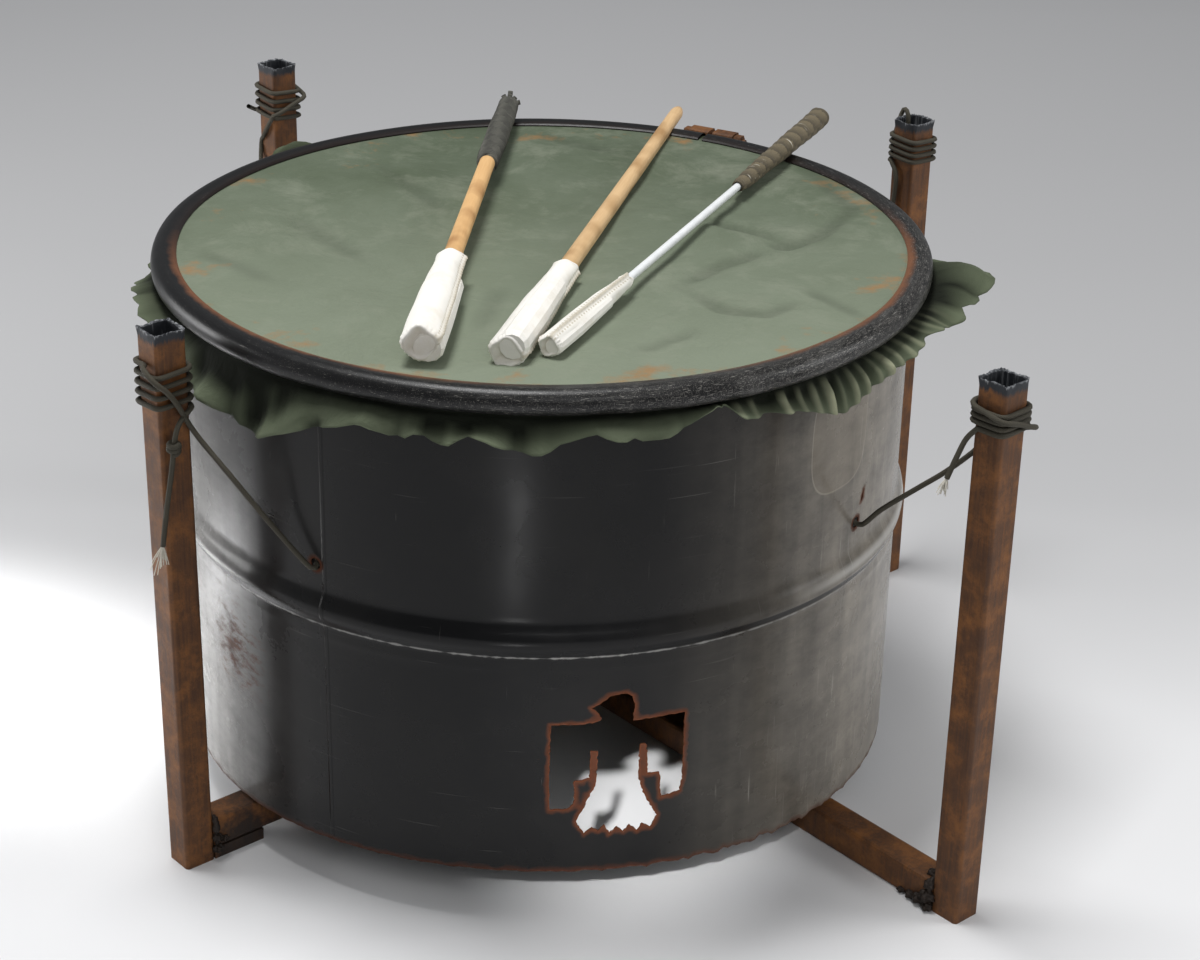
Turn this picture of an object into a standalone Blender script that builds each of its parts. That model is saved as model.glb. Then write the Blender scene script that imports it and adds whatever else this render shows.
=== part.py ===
"""Powwow drum: the upper half of a steel drum with a canvas head, hung by cords in a welded stand,
with three beaters laid across the head.

Metres, +Z up. The origin is on the floor where the two base tubes cross.
Places on the drum are azimuths in degrees about the drum's own axis, from +X towards +Y.
"""
import math

import bmesh
import bpy
import numpy as np
from mathutils import Matrix

CLEAR = 0.0003              # gap between pieces that touch

# Stand
TUBE = 0.0254               # square tube, across its flats
TUBE_WALL = 0.002
TUBE_CORNER = 0.003         # outside corner radius
RAISED_ANGLE = 41.2         # direction of the raised base tube
SPACER_HEIGHT = 0.0095      # flat bar under the raised tube's ends
SPACER_LENGTH = 0.045
ARMS = {                    # from the crossing to each post's axis
    "front_right": 0.426,
    "front_left": 0.409,
    "back_right": 0.366,
    "back_left": 0.456,
}
POST_HEIGHTS = {
    "front_right": 0.444,
    "front_left": 0.447,
    "back_right": 0.447,
    "back_left": 0.455,
}
RAGGED_TOP = 0.0016         # unevenness of the torch-cut post tops
BURNT_EDGE = 0.0005         # how much lower the cut is on the tube's inside
WELD_LEG = 0.006            # weld along the base tube
WELD_THROAT = 0.003         # weld standing off the tube's sides
CROSSING_WELD = 0.0203      # length of the weld where the two base tubes cross

# Drum shell
DRUM_CENTRE = (-0.044, -0.057)
SHELL_RADIUS = 0.2875
SHELL_WALL = 0.0012
SHELL_HEIGHT = 0.3967       # lowest point of the cut edge to the rolled rim's middle
RIM_BEAD = 0.006            # radius of the rolled rim
EDGE_RISE = 0.0097          # how much higher the torch cut runs at the front
EDGE_RISE_AZIMUTH = -92.0
HOOP_DROP = 0.1915          # rolling hoop below the rim
HOOP_WIDTH = 0.031
HOOP_BULGE = 0.0058
HOLE_DROP = 0.1557          # cord holes below the rim
HOLE_RADIUS = 0.0045
HOLE_FIRST_AZIMUTH = -33.0
TEAR_DROP = 0.1366
TEAR_AZIMUTH = -31.3
TEAR_WIDTH = 0.0042
TEAR_HEIGHT = 0.0095
CUT_DEPTH = 0.012           # how far each cut's tool reaches either side of the wall

# Cut-out figure in the shell's front
FIGURE_AZIMUTH = -76.8
FIGURE_DROP = 0.2600        # tops of the wings below the rim

# Closing ring
RING_WALL = 0.002
RING_SLACK = 0.0004         # room between the ring and the canvas that it clamps
RING_LIP = 0.0100           # flat inner lip past the rolled rim's middle
RING_FROM = 100.0           # the channel's section runs from here over the rim, in degrees
RING_TO = -60.0
RING_SPLIT_AZIMUTH = 63.0
RING_SPLIT = 0.004
LUG_SIZE = 0.016
LUG_CORNER = 0.0032
LUG_LENGTH = 0.019
BOLT_RADIUS = 0.004
BOLT_FIT = 0.0004           # room between the bolt and what it passes through
HEX_WIDTH = 0.0130          # bolt head and nut, across flats
HEAD_HEIGHT = 0.0055
NUT_HEIGHT = 0.0065
BOLT_POINT = 0.003          # thread standing out of the nut

# Canvas
CANVAS = 0.0008
HEAD_RISE = 0.0058          # edge of the head above the rim's middle
HEAD_SAG = 0.0030
NECK_STAND = 0.0040         # canvas off the shell, just under the ring
NECK_DROP = 0.0135
SKIRT_BELLY = 0.55          # how far out the skirt is half way down, of what its hem is
PLEAT = 0.0025
PLEATS = 14

# Cords
CORD_RADIUS = 0.002
CORD_OFF_POST = 0.0006
CORD_LAYER = 0.0043         # where the cord crosses over its own turns
CORD_LEAD = 0.006           # straight stretch out of the hole
CORNER_SPREAD = 12.0        # the cord bends round a post's corner over this much each side
SQUARENESS = 6.0            # how closely the turns follow the square tube
SPAN_STEP = 0.016           # spacing of a cord's points between the shell and the post
TAIL_STEP = 0.012
KNOT_RADIUS = 0.0065
KNOT_FACE = 0.98            # the faceted knot's side, of its radius

ROUND_STEPS = 64            # sides of the drum's round pieces
BEATER_SIDES = 12


# What follows from the driving dimensions
raised_base = SPACER_HEIGHT + CLEAR
shell_rest = raised_base + TUBE + CLEAR
rim_z = shell_rest + SHELL_HEIGHT
bead_centre = SHELL_RADIUS + RIM_BEAD
canvas_inner = RIM_BEAD + CLEAR
canvas_outer = canvas_inner + CANVAS
ring_inner = canvas_outer + RING_SLACK
ring_outer = ring_inner + RING_WALL
wrap_angles = np.radians(np.linspace(RING_FROM, RING_TO, 6))
post_directions = {
    "front_right": RAISED_ANGLE - 90.0,
    "front_left": RAISED_ANGLE - 180.0,
    "back_right": RAISED_ANGLE,
    "back_left": RAISED_ANGLE + 90.0,
}
hole_azimuths = {
    "front_right": HOLE_FIRST_AZIMUTH,
    "front_left": HOLE_FIRST_AZIMUTH - 90.0,
    "back_right": HOLE_FIRST_AZIMUTH + 90.0,
    "back_left": HOLE_FIRST_AZIMUTH + 180.0,
}

for leftover in list(bpy.data.objects):
    bpy.data.objects.remove(leftover, do_unlink=True)


def finish(name, colour, roughness, metallic=0.0):
    """A Principled material of one colour."""
    made = bpy.data.materials.new(name)
    made.use_nodes = True
    shader = made.node_tree.nodes["Principled BSDF"]
    shader.inputs["Base Color"].default_value = (*colour, 1.0)
    shader.inputs["Roughness"].default_value = roughness
    shader.inputs["Metallic"].default_value = metallic
    return made


black_paint = finish("black_enamel_on_steel", (0.025, 0.025, 0.027), 0.4, 0.3)
rusty_steel = finish("rusty_mild_steel", (0.20, 0.085, 0.035), 0.75, 0.2)
weld_metal = finish("weld_metal", (0.04, 0.035, 0.035), 0.6, 0.6)
zinc_steel = finish("worn_bolt_steel", (0.30, 0.20, 0.13), 0.55, 0.8)
tent_cloth = finish("tent_canvas", (0.16, 0.21, 0.14), 0.9)
cord_braid = finish("olive_cord", (0.045, 0.04, 0.03), 0.9)
white_leather = finish("white_leather", (0.76, 0.72, 0.62), 0.7)
wood = finish("ash_wood", (0.58, 0.36, 0.17), 0.55)
glass_rod = finish("white_fibreglass", (0.78, 0.82, 0.85), 0.35)
felt = finish("felt_padding", (0.55, 0.52, 0.46), 0.95)
grey_tape = finish("grey_cloth_grip", (0.09, 0.085, 0.075), 0.85)
olive_tape = finish("olive_cloth_grip", (0.11, 0.09, 0.055), 0.85)


def place(name, mesh, material):
    """Links a mesh as an object, smooth except at its hard edges."""
    mesh.materials.append(material)
    made = bpy.data.objects.new(name, mesh)
    bpy.context.scene.collection.objects.link(made)
    mesh.shade_smooth()
    mesh.set_sharp_from_angle(angle=math.radians(35.0))
    return made


def body(name, grid, material, around_closed=True, along_closed=True):
    """A closed solid from a grid of points: around is the first index, along the second.

    An open direction is capped: rows that shrink to a point close themselves.
    """
    around, along = grid.shape[:2]
    points = grid.reshape(-1, 3)
    faces = []
    for i in range(around if around_closed else around - 1):
        for j in range(along if along_closed else along - 1):
            i2 = (i + 1) % around
            j2 = (j + 1) % along
            faces.append((i * along + j, i2 * along + j, i2 * along + j2, i * along + j2))
    if not around_closed:
        faces.append(tuple(range(along)))
        faces.append(tuple((around - 1) * along + j for j in range(along)))
    mesh = bpy.data.meshes.new(name)
    mesh.from_pydata([tuple(p) for p in points], [], faces)
    tidy = bmesh.new()
    tidy.from_mesh(mesh)
    bmesh.ops.remove_doubles(tidy, verts=tidy.verts, dist=1e-6)
    bmesh.ops.recalc_face_normals(tidy, faces=tidy.faces)
    tidy.to_mesh(mesh)
    tidy.free()
    return place(name, mesh, material)


def cut(target, cutter):
    """Takes the cutter out of the target, and hides the cutter."""
    cutter.hide_render = True
    cutter.display_type = "WIRE"
    modifier = target.modifiers.new("cut_" + cutter.name, "BOOLEAN")
    modifier.operation = "DIFFERENCE"
    modifier.object = cutter


def polar(radius, azimuth, height, centre=DRUM_CENTRE):
    """Points from a radius, an azimuth in degrees and a height, as an array."""
    turn = np.radians(azimuth)
    x = centre[0] + radius * np.cos(turn)
    y = centre[1] + radius * np.sin(turn)
    return np.stack(np.broadcast_arrays(x, y, height), axis=-1)


def on_circle(radius, sides, phase=0.0):
    """A circle's corners in a plane."""
    turn = np.radians(phase) + np.arange(sides) * 2.0 * np.pi / sides
    return np.column_stack([np.cos(turn), np.sin(turn)]) * radius


def square_loop(half, corner, side_points=2):
    """A square with rounded corners: three points a corner, and a few on each side."""
    loop = []
    for quarter in range(4):
        start = math.radians(90.0 * quarter)
        for part in range(3):
            turn = start + math.radians(45.0) * part
            cx = math.copysign(half - corner, math.cos(start + math.pi / 4))
            cy = math.copysign(half - corner, math.sin(start + math.pi / 4))
            loop.append((cx + corner * math.cos(turn), cy + corner * math.sin(turn)))
        reach = half - corner
        for part in range(side_points):
            share = 1.0 - 2.0 * (part + 1) / (side_points + 1)
            turn = start + math.pi / 2
            across = reach * share
            loop.append((
                half * math.cos(turn) + across * math.sin(turn),
                half * math.sin(turn) - across * math.cos(turn),
            ))
    return np.array(loop)


def axes_of(direction):
    """Unit vectors along a level direction, to its left, and up."""
    turn = math.radians(direction)
    along = np.array([math.cos(turn), math.sin(turn), 0.0])
    left = np.array([-math.sin(turn), math.cos(turn), 0.0])
    return along, left, np.array([0.0, 0.0, 1.0])


def post_place(corner):
    """Where a post's axis meets the floor."""
    along, _, _ = axes_of(post_directions[corner])
    return along * ARMS[corner]


# Stand: four posts, two base tubes, two spacers and the welds
def make_post(corner):
    """A square tube on end, open at its torch-cut top."""
    along, left, up = axes_of(post_directions[corner])
    foot = post_place(corner)
    outside = square_loop(TUBE / 2, TUBE_CORNER)
    inside = square_loop(TUBE / 2 - TUBE_WALL, TUBE_CORNER - TUBE_WALL)
    count = len(outside)
    step = np.arange(count) + 5.0 * list(ARMS).index(corner)
    ragged = RAGGED_TOP * (0.6 * np.sin(2.1 * step) + 0.4 * np.sin(5.3 * step + 1.0))
    top = POST_HEIGHTS[corner] + ragged
    floor = np.zeros(count)
    rows = [(outside, floor), (outside, top), (inside, top - BURNT_EDGE), (inside, floor)]
    grid = np.zeros((count, len(rows), 3))
    for row, (loop, height) in enumerate(rows):
        grid[:, row] = foot + loop[:, :1] * along + loop[:, 1:] * left + height[:, None] * up
    return body("post_" + corner, grid, rusty_steel)


def make_base_tube(name, direction, near_arm, far_arm, base_height):
    """A square tube lying between two posts, welded to their faces."""
    along, left, up = axes_of(direction)
    ends = (-(far_arm - TUBE / 2 - CLEAR), near_arm - TUBE / 2 - CLEAR)
    middle = up * (base_height + TUBE / 2)
    outside = square_loop(TUBE / 2, TUBE_CORNER, 0)
    inside = square_loop(TUBE / 2 - TUBE_WALL, TUBE_CORNER - TUBE_WALL, 0)
    rows = [(outside, ends[0]), (outside, ends[1]), (inside, ends[1]), (inside, ends[0])]
    grid = np.zeros((len(outside), len(rows), 3))
    for row, (loop, reach) in enumerate(rows):
        grid[:, row] = middle + along * reach + loop[:, :1] * left + loop[:, 1:] * up
    return body(name, grid, rusty_steel)


def box(name, centre, half, along, left, material):
    """A plain block."""
    up = np.array([0.0, 0.0, 1.0])
    grid = np.zeros((4, 2, 3))
    for i, (u, v) in enumerate(((-1, -1), (1, -1), (1, 1), (-1, 1))):
        for j, w in enumerate((-1, 1)):
            grid[i, j] = centre + along * half[0] * u + left * half[1] * v + up * half[2] * w
    faces = [(0, 1, 3, 2), (2, 3, 5, 4), (4, 5, 7, 6), (6, 7, 1, 0), (0, 2, 4, 6), (1, 7, 5, 3)]
    mesh = bpy.data.meshes.new(name)
    mesh.from_pydata([tuple(p) for p in grid.reshape(-1, 3)], [], faces)
    tidy = bmesh.new()
    tidy.from_mesh(mesh)
    bmesh.ops.recalc_face_normals(tidy, faces=tidy.faces)
    tidy.to_mesh(mesh)
    tidy.free()
    return place(name, mesh, material)


def make_spacer(corner):
    """A piece of flat bar that carries the raised tube's end beside its post."""
    along, left, up = axes_of(post_directions[corner])
    middle = along * (ARMS[corner] - TUBE / 2 - CLEAR - SPACER_LENGTH / 2) + up * SPACER_HEIGHT / 2
    half = (SPACER_LENGTH / 2, TUBE / 2, SPACER_HEIGHT / 2)
    return box("spacer_" + corner, middle, half, along, left, rusty_steel)


def make_post_weld(corner):
    """The weld round a base tube's end, against the post's face: up one side, over and down."""
    along, left, up = axes_of(post_directions[corner])
    raised = corner in ("front_left", "back_right")
    tube_base = raised_base if raised else 0.0
    face = ARMS[corner] - TUBE / 2 - CLEAR
    side = TUBE / 2 + CLEAR
    top = tube_base + TUBE + CLEAR
    start = tube_base + TUBE_CORNER
    stations = [(-side, start, -1, 0), (-side, top, -1, 1), (side, top, 1, 1), (side, start, 1, 0)]
    grid = np.zeros((len(stations), 3, 3))
    for i, (across, height, outward, over) in enumerate(stations):
        seat = left * across + up * height
        throat = left * WELD_THROAT * outward + up * WELD_THROAT * over
        grid[i, 0] = along * face + seat
        grid[i, 1] = along * (face - WELD_LEG) + seat
        grid[i, 2] = along * face + seat + throat
    return body("weld_post_" + corner, grid, weld_metal, around_closed=False)


def make_crossing_weld():
    """The weld between the lower tube's top and the raised tube's side."""
    along, left, up = axes_of(RAISED_ANGLE)
    side = TUBE / 2 + CLEAR
    top = TUBE + CLEAR
    grid = np.zeros((2, 3, 3))
    for i, reach in enumerate((-CROSSING_WELD / 2, CROSSING_WELD / 2)):
        grid[i, 0] = along * reach - left * side + up * top
        grid[i, 1] = along * reach - left * (side + WELD_LEG) + up * top
        grid[i, 2] = along * reach - left * side + up * (top + WELD_LEG)
    return body("weld_crossing", grid, weld_metal, around_closed=False)


for corner_name in ARMS:
    make_post(corner_name)
    make_post_weld(corner_name)
make_base_tube("base_tube_lower", RAISED_ANGLE - 90.0, ARMS["front_right"], ARMS["back_left"], 0.0)
raised_tube = make_base_tube(
    "base_tube_raised", RAISED_ANGLE, ARMS["back_right"], ARMS["front_left"], raised_base
)
saddle_axes = axes_of(RAISED_ANGLE)
saddle_top = TUBE + CLEAR
saddle = box(
    "saddle_cutter",
    np.array([0.0, 0.0, saddle_top - TUBE / 2]),
    (TUBE / 2 + CLEAR, TUBE, TUBE / 2),
    saddle_axes[0],
    saddle_axes[1],
    weld_metal,
)
cut(raised_tube, saddle)
for corner_name in ("front_left", "back_right"):
    make_spacer(corner_name)
make_crossing_weld()


# Drum shell: a rolled sheet with a beaded rim and one rolling hoop, cut from below
def edge_height(azimuth):
    """The torch-cut lower edge: level at the back, higher at the front."""
    facing = np.clip(np.cos(np.radians(azimuth - EDGE_RISE_AZIMUTH)), 0.0, None)
    return shell_rest + EDGE_RISE * facing ** 3


def hoop_rows(radius):
    """The wall's bulge at the rolling hoop, from below upward."""
    share = np.linspace(-1.0, 1.0, 5)
    bulge = HOOP_BULGE * 0.5 * (1.0 + np.cos(np.pi * share))
    return [(radius + b, rim_z - HOOP_DROP + s * HOOP_WIDTH / 2) for s, b in zip(share, bulge)]


def make_shell():
    """The shell as a closed profile carried round the drum's axis.

    The rolled bead closes on the wall just under its round and just over its middle.
    """
    inner = SHELL_RADIUS - SHELL_WALL
    bead = [
        (bead_centre + RIM_BEAD * math.cos(a), rim_z + RIM_BEAD * math.sin(a))
        for a in wrap_angles[::-1]
    ]
    under_bead = (SHELL_RADIUS, rim_z - 0.9 * RIM_BEAD)
    bead_foot = (bead_centre - 0.1 * RIM_BEAD, rim_z - 0.95 * RIM_BEAD)
    over_bead = (bead_centre - 0.9 * RIM_BEAD, rim_z + 0.5 * RIM_BEAD)
    wall_top = (inner, rim_z)
    rows = [(SHELL_RADIUS, None)] + hoop_rows(SHELL_RADIUS) + [under_bead, bead_foot] + bead
    rows += [over_bead, wall_top] + hoop_rows(inner)[::-1] + [(inner, None)]
    azimuths = np.arange(ROUND_STEPS) * 360.0 / ROUND_STEPS
    grid = np.zeros((ROUND_STEPS, len(rows), 3))
    for row, (radius, height) in enumerate(rows):
        level = edge_height(azimuths) if height is None else height
        grid[:, row] = polar(radius, azimuths, level)
    return body("shell", grid, black_paint)


# The thunderbird's outline in millimetres: across the front from its middle, and below its wing tops
FIGURE = [
    (-50, 0), (-28, 0), (-16, -1.5), (-12.5, -4.5), (-16, -9), (-20.5, -13), (-13, -17), (-7.5, -21.5),
    (-1, -23.8), (5.5, -23.4), (9.5, -20), (11.8, -14), (11, -5), (10.5, 0), (51, 0), (51, 28), (51, 57),
    (49.5, 68), (33.5, 70), (32.5, 48), (23, 47.5), (21.5, 22), (16.5, 21.5), (16, 48), (17.3, 56), (22, 69),
    (31.5, 85.5), (26, 95), (20, 90.5), (15.7, 96.3), (10, 90), (5.2, 95.5), (0, 90.8), (-5.3, 96),
    (-9.4, 87.5), (-14, 93), (-18.7, 90), (-24.5, 94.8), (-31.3, 83.5), (-24.8, 71), (-16, 51),
    (-15.7, 23.2), (-21, 23), (-21, 46.5), (-32.8, 48.5), (-32.6, 68), (-37, 72), (-50.6, 73),
    (-51, 45), (-50.5, 20),
]


def radial_cutter(name, azimuth, drop, outline):
    """A prism through the wall: the outline's millimetres run round the drum and down."""
    across = np.array([p[0] for p in outline]) * 0.001
    down = np.array([p[1] for p in outline]) * 0.001
    turn = azimuth + np.degrees(across / SHELL_RADIUS)
    grid = np.zeros((2, len(outline), 3))
    for i, radius in enumerate((SHELL_RADIUS - CUT_DEPTH, SHELL_RADIUS + CUT_DEPTH)):
        grid[i] = polar(radius, turn, rim_z - drop - down)
    return body(name, grid, black_paint, around_closed=False)


shell = make_shell()
cut(shell, radial_cutter("figure_cutter", FIGURE_AZIMUTH, FIGURE_DROP, FIGURE))
hole_outline = on_circle(HOLE_RADIUS * 1000.0, 12)
for corner_name, hole_azimuth in hole_azimuths.items():
    cut(shell, radial_cutter("hole_cutter_" + corner_name, hole_azimuth, HOLE_DROP, hole_outline))
tear_outline = np.array([(-0.5, 0.5), (-0.2, -0.1), (0.5, -0.5), (0.25, 0.2)]) * 1000.0
tear_outline = tear_outline * (TEAR_WIDTH, TEAR_HEIGHT)
cut(shell, radial_cutter("tear_cutter", TEAR_AZIMUTH, TEAR_DROP, tear_outline))


# Closing ring: a rolled channel, split and drawn together by a bolt through two lugs
def make_ring():
    """The channel's section carried round from one side of the split to the other."""
    inside = [(bead_centre + ring_inner * math.cos(a), ring_inner * math.sin(a)) for a in wrap_angles]
    outside = [(bead_centre + ring_outer * math.cos(a), ring_outer * math.sin(a)) for a in wrap_angles]
    lip_radius = bead_centre - RING_LIP
    lip_under = HEAD_RISE + CANVAS / 2 + CLEAR
    lip_top = lip_under + RING_WALL
    section = [(lip_radius, lip_under)] + inside + outside[::-1] + [(lip_radius, lip_top)]
    half_split = math.degrees(RING_SPLIT / 2 / bead_centre)
    first = RING_SPLIT_AZIMUTH + half_split
    azimuths = np.linspace(first, first + 360.0 - 2.0 * half_split, ROUND_STEPS + 1)
    grid = np.zeros((len(azimuths), len(section), 3))
    for row, (radius, height) in enumerate(section):
        grid[:, row] = polar(radius, azimuths, rim_z + height)
    return body("closing_ring", grid, black_paint, around_closed=False)


make_ring()
split_along, split_left, split_up = axes_of(RING_SPLIT_AZIMUTH)
lug_radius = bead_centre + ring_outer + CLEAR + LUG_SIZE / 2
bolt_line = np.array([*DRUM_CENTRE, rim_z]) + split_along * lug_radius
lug_gap = RING_SPLIT / 2


def ring_stack(name, rows, material, along_closed):
    """A body from loops set along the bolt's line: each row is a loop in the plane and a distance."""
    grid = np.zeros((len(rows[0][0]), len(rows), 3))
    for row, (loop, reach) in enumerate(rows):
        flat = loop[:, :1] * split_along + loop[:, 1:] * split_up
        grid[:, row] = bolt_line + flat + split_left * reach
    return body(name, grid, material, along_closed=along_closed)


def hexagon(width):
    """Twelve points round a hexagon: its corners and the middles of its sides."""
    corners = on_circle(width / math.sqrt(3.0), 6)
    middles = (corners + np.roll(corners, -1, axis=0)) / 2
    return np.stack([corners, middles], axis=1).reshape(-1, 2)


bore = on_circle(BOLT_RADIUS + BOLT_FIT, 12)
bore_on_square = on_circle(BOLT_RADIUS + BOLT_FIT, 16, 22.5)
lug_outline = square_loop(LUG_SIZE / 2, LUG_CORNER, 1)
for lug_name, lug_sign in (("lug_left", 1), ("lug_right", -1)):
    near = lug_sign * lug_gap
    far = lug_sign * (lug_gap + LUG_LENGTH)
    lug_rows = [(lug_outline, near), (lug_outline, far), (bore_on_square, far), (bore_on_square, near)]
    ring_stack(lug_name, lug_rows, rusty_steel, True)
head_face = lug_gap + LUG_LENGTH + CLEAR
nut_face = -head_face
nut_back = nut_face - NUT_HEIGHT
nut_outline = hexagon(HEX_WIDTH)
ring_stack(
    "ring_nut",
    [(nut_outline, nut_face), (nut_outline, nut_back), (bore, nut_back), (bore, nut_face)],
    zinc_steel,
    True,
)
shank = on_circle(BOLT_RADIUS, 12)
point = np.zeros((12, 2))
ring_stack(
    "ring_bolt",
    [
        (point, head_face + HEAD_HEIGHT),
        (nut_outline, head_face + HEAD_HEIGHT),
        (nut_outline, head_face),
        (shank, head_face),
        (shank, nut_back - BOLT_POINT),
        (point, nut_back - BOLT_POINT),
    ],
    zinc_steel,
    False,
)

# Canvas: one sheet over the rim, clamped by the ring, its surplus hanging as a skirt.
# Each entry is an azimuth, how far the hem hangs below the rim, and how far it stands off the shell.
HEM = [
    (-170, 0.030, 0.022), (-160, 0.018, 0.030), (-150, 0.035, 0.020), (-140, 0.048, 0.018),
    (-132, 0.057, 0.020), (-120, 0.037, 0.018), (-110, 0.027, 0.018), (-98, 0.026, 0.018),
    (-88, 0.030, 0.020), (-80, 0.022, 0.018), (-72, 0.027, 0.019), (-65, 0.017, 0.012),
    (-58, 0.021, 0.016), (-50, 0.030, 0.018), (-43, 0.039, 0.019), (-34, 0.025, 0.022),
    (-22, 0.019, 0.024), (-10, 0.016, 0.046), (-3, 0.014, 0.065), (5, 0.016, 0.024),
    (12, 0.020, 0.022), (40, 0.035, 0.018), (80, 0.030, 0.018), (110, 0.030, 0.018),
    (128, 0.018, 0.045), (134, 0.016, 0.062), (140, 0.018, 0.045), (155, 0.030, 0.020),
]
head_radii = (0.0, 0.14, 0.24, bead_centre - RING_LIP)


def head_middle(radius):
    """Height of the head's mid surface above the rim's middle."""
    share = np.asarray(radius) / head_radii[-1]
    return HEAD_RISE - HEAD_SAG * (1.0 - share ** 2)


def canvas_rows(azimuth):
    """Radius and height of the canvas's mid surface, from the centre to the hem."""
    hem_at = [h[0] for h in HEM]
    drop = np.interp(azimuth, hem_at, [h[1] for h in HEM], period=360.0)
    stand = np.interp(azimuth, hem_at, [h[2] for h in HEM], period=360.0)
    pleat = PLEAT * math.sin(PLEATS * math.radians(azimuth))
    middle = (canvas_inner + canvas_outer) / 2
    rows = [(r, rim_z + float(head_middle(r))) for r in head_radii]
    rows += [(bead_centre + middle * math.cos(a), rim_z + middle * math.sin(a)) for a in wrap_angles]
    rows.append((bead_centre, rim_z - ring_outer))
    rows.append((SHELL_RADIUS + NECK_STAND, rim_z - NECK_DROP))
    half_drop = max(NECK_DROP, (NECK_DROP + drop) / 2)
    rows.append((SHELL_RADIUS + SKIRT_BELLY * stand + NECK_STAND / 2, rim_z - half_drop))
    rows.append((SHELL_RADIUS + stand + pleat, rim_z - drop))
    return np.array(rows)


def make_canvas():
    """Both faces of the sheet, half its thickness either side of the mid surface."""
    azimuths = np.arange(ROUND_STEPS) * 360.0 / ROUND_STEPS
    columns = []
    for azimuth in azimuths:
        rows = canvas_rows(azimuth)
        tangent = np.gradient(rows, axis=0)
        tangent[0] = (1.0, 0.0)
        tangent /= np.linalg.norm(tangent, axis=1)[:, None]
        normal = np.column_stack([-tangent[:, 1], tangent[:, 0]])
        upper = rows + normal * CANVAS / 2
        lower = rows - normal * CANVAS / 2
        both = np.vstack([upper, lower[::-1]])
        columns.append(polar(both[:, 0], azimuth, both[:, 1]))
    return body("canvas_head", np.array(columns), tent_cloth, along_closed=False)


make_canvas()


# Cords: each is knotted inside the shell, crosses to its post, is wound on it and ends in a tail
def smooth_route(points, spacing):
    """A smooth curve through hand-set points, read at about even steps."""
    points = np.array(points, dtype=float)
    padded = np.vstack([2 * points[0] - points[1], points, 2 * points[-1] - points[-2]])
    curve = []
    for i in range(1, len(padded) - 2):
        a, b, c, d = padded[i - 1:i + 3]
        steps = max(1, round(float(np.linalg.norm(c - b)) / spacing))
        for t in np.arange(steps) / steps:
            bend = 2 * a - 5 * b + 4 * c - d
            twist = -a + 3 * b - 3 * c + d
            curve.append(0.5 * (2 * b + (c - a) * t + bend * t * t + twist * t ** 3))
    curve.append(points[-1])
    return np.array(curve)


def wound(corner, start, way, climb, turns, heights):
    """Turns on a post: across the outside of the rest to the first turn, then one under another.

    way is 1 where the cord runs anticlockwise seen from above; heights are where it meets the post,
    its first full turn and its last.
    """
    low, first, last = heights
    corners = post_directions[corner] + 45.0 + np.arange(-40, 40) * 90.0
    spread = np.array([-CORNER_SPREAD, 0.0, CORNER_SPREAD])
    angles = (corners[:, None] + spread).ravel()
    travelled = way * (angles - start) / 360.0
    order = np.argsort(travelled)
    order = order[(travelled[order] >= 0.0) & (travelled[order] <= turns)]
    angles = angles[order]
    travelled = travelled[order]
    rise = np.clip(travelled / climb, 0.0, 1.0)
    fall = np.clip((travelled - climb) / (turns - climb), 0.0, 1.0)
    height = low + (first - low) * np.sin(rise * math.pi / 2) + (last - first) * fall
    outward = np.clip(3.0 * np.sin(rise * math.pi), 0.0, 1.0)
    reach = TUBE / 2 + CORD_OFF_POST + CORD_RADIUS + CORD_LAYER * outward
    turn = np.radians(angles - post_directions[corner])
    power = np.abs(np.cos(turn)) ** SQUARENESS + np.abs(np.sin(turn)) ** SQUARENESS
    return polar(reach * power ** (-1.0 / SQUARENESS), angles, height, post_place(corner)[:2])


def on_drum(x, y, z):
    """A place given from the drum's axis and the rim's middle."""
    return np.array([DRUM_CENTRE[0] + x, DRUM_CENTRE[1] + y, rim_z + z])


def by_post(corner, reach, azimuth, z):
    """A place given by its distance and azimuth from a post's axis, and its height above the post's top."""
    return polar(reach, azimuth, POST_HEIGHTS[corner] + z, post_place(corner)[:2])


def cord_object(name, points):
    """A cord as a round tube along its route."""
    curve = bpy.data.curves.new(name, "CURVE")
    curve.dimensions = "3D"
    curve.bevel_depth = CORD_RADIUS
    curve.bevel_resolution = 2
    curve.use_fill_caps = True
    spline = curve.splines.new("POLY")
    spline.points.add(len(points) - 1)
    spline.points.foreach_set("co", np.column_stack([points, np.ones(len(points))]).ravel())
    curve.materials.append(cord_braid)
    made = bpy.data.objects.new(name, curve)
    bpy.context.scene.collection.objects.link(made)
    return made


SPANS = {                   # hand-set points between the shell and the post
    "front_right": [
        on_drum(0.2578, -0.1773, -0.1339), on_drum(0.2785, -0.2031, -0.1040),
        on_drum(0.2953, -0.2239, -0.0800), on_drum(0.3106, -0.2429, -0.0551),
        by_post("front_right", 0.0225, 95.0, -0.055),
    ],
    "front_left": [
        on_drum(-0.1888, -0.2363, -0.1259), on_drum(-0.2166, -0.2321, -0.0902),
        by_post("front_left", 0.0229, -16.0, -0.0794),
    ],
    "back_right": [
        on_drum(0.200, 0.254, -0.164), on_drum(0.250, 0.270, -0.154), on_drum(0.285, 0.281, -0.130),
        by_post("back_right", 0.0200, -153.0, -0.102), by_post("back_right", 0.0163, -153.0, -0.0748),
        by_post("back_right", 0.0160, -150.0, -0.0500),
    ],
    "back_left": [
        on_drum(-0.256, 0.220, -0.170), on_drum(-0.262, 0.290, -0.170), on_drum(-0.270, 0.350, -0.140),
        by_post("back_left", 0.0175, -168.0, -0.0839), by_post("back_left", 0.0154, -144.0, -0.0647),
    ],
}
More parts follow.
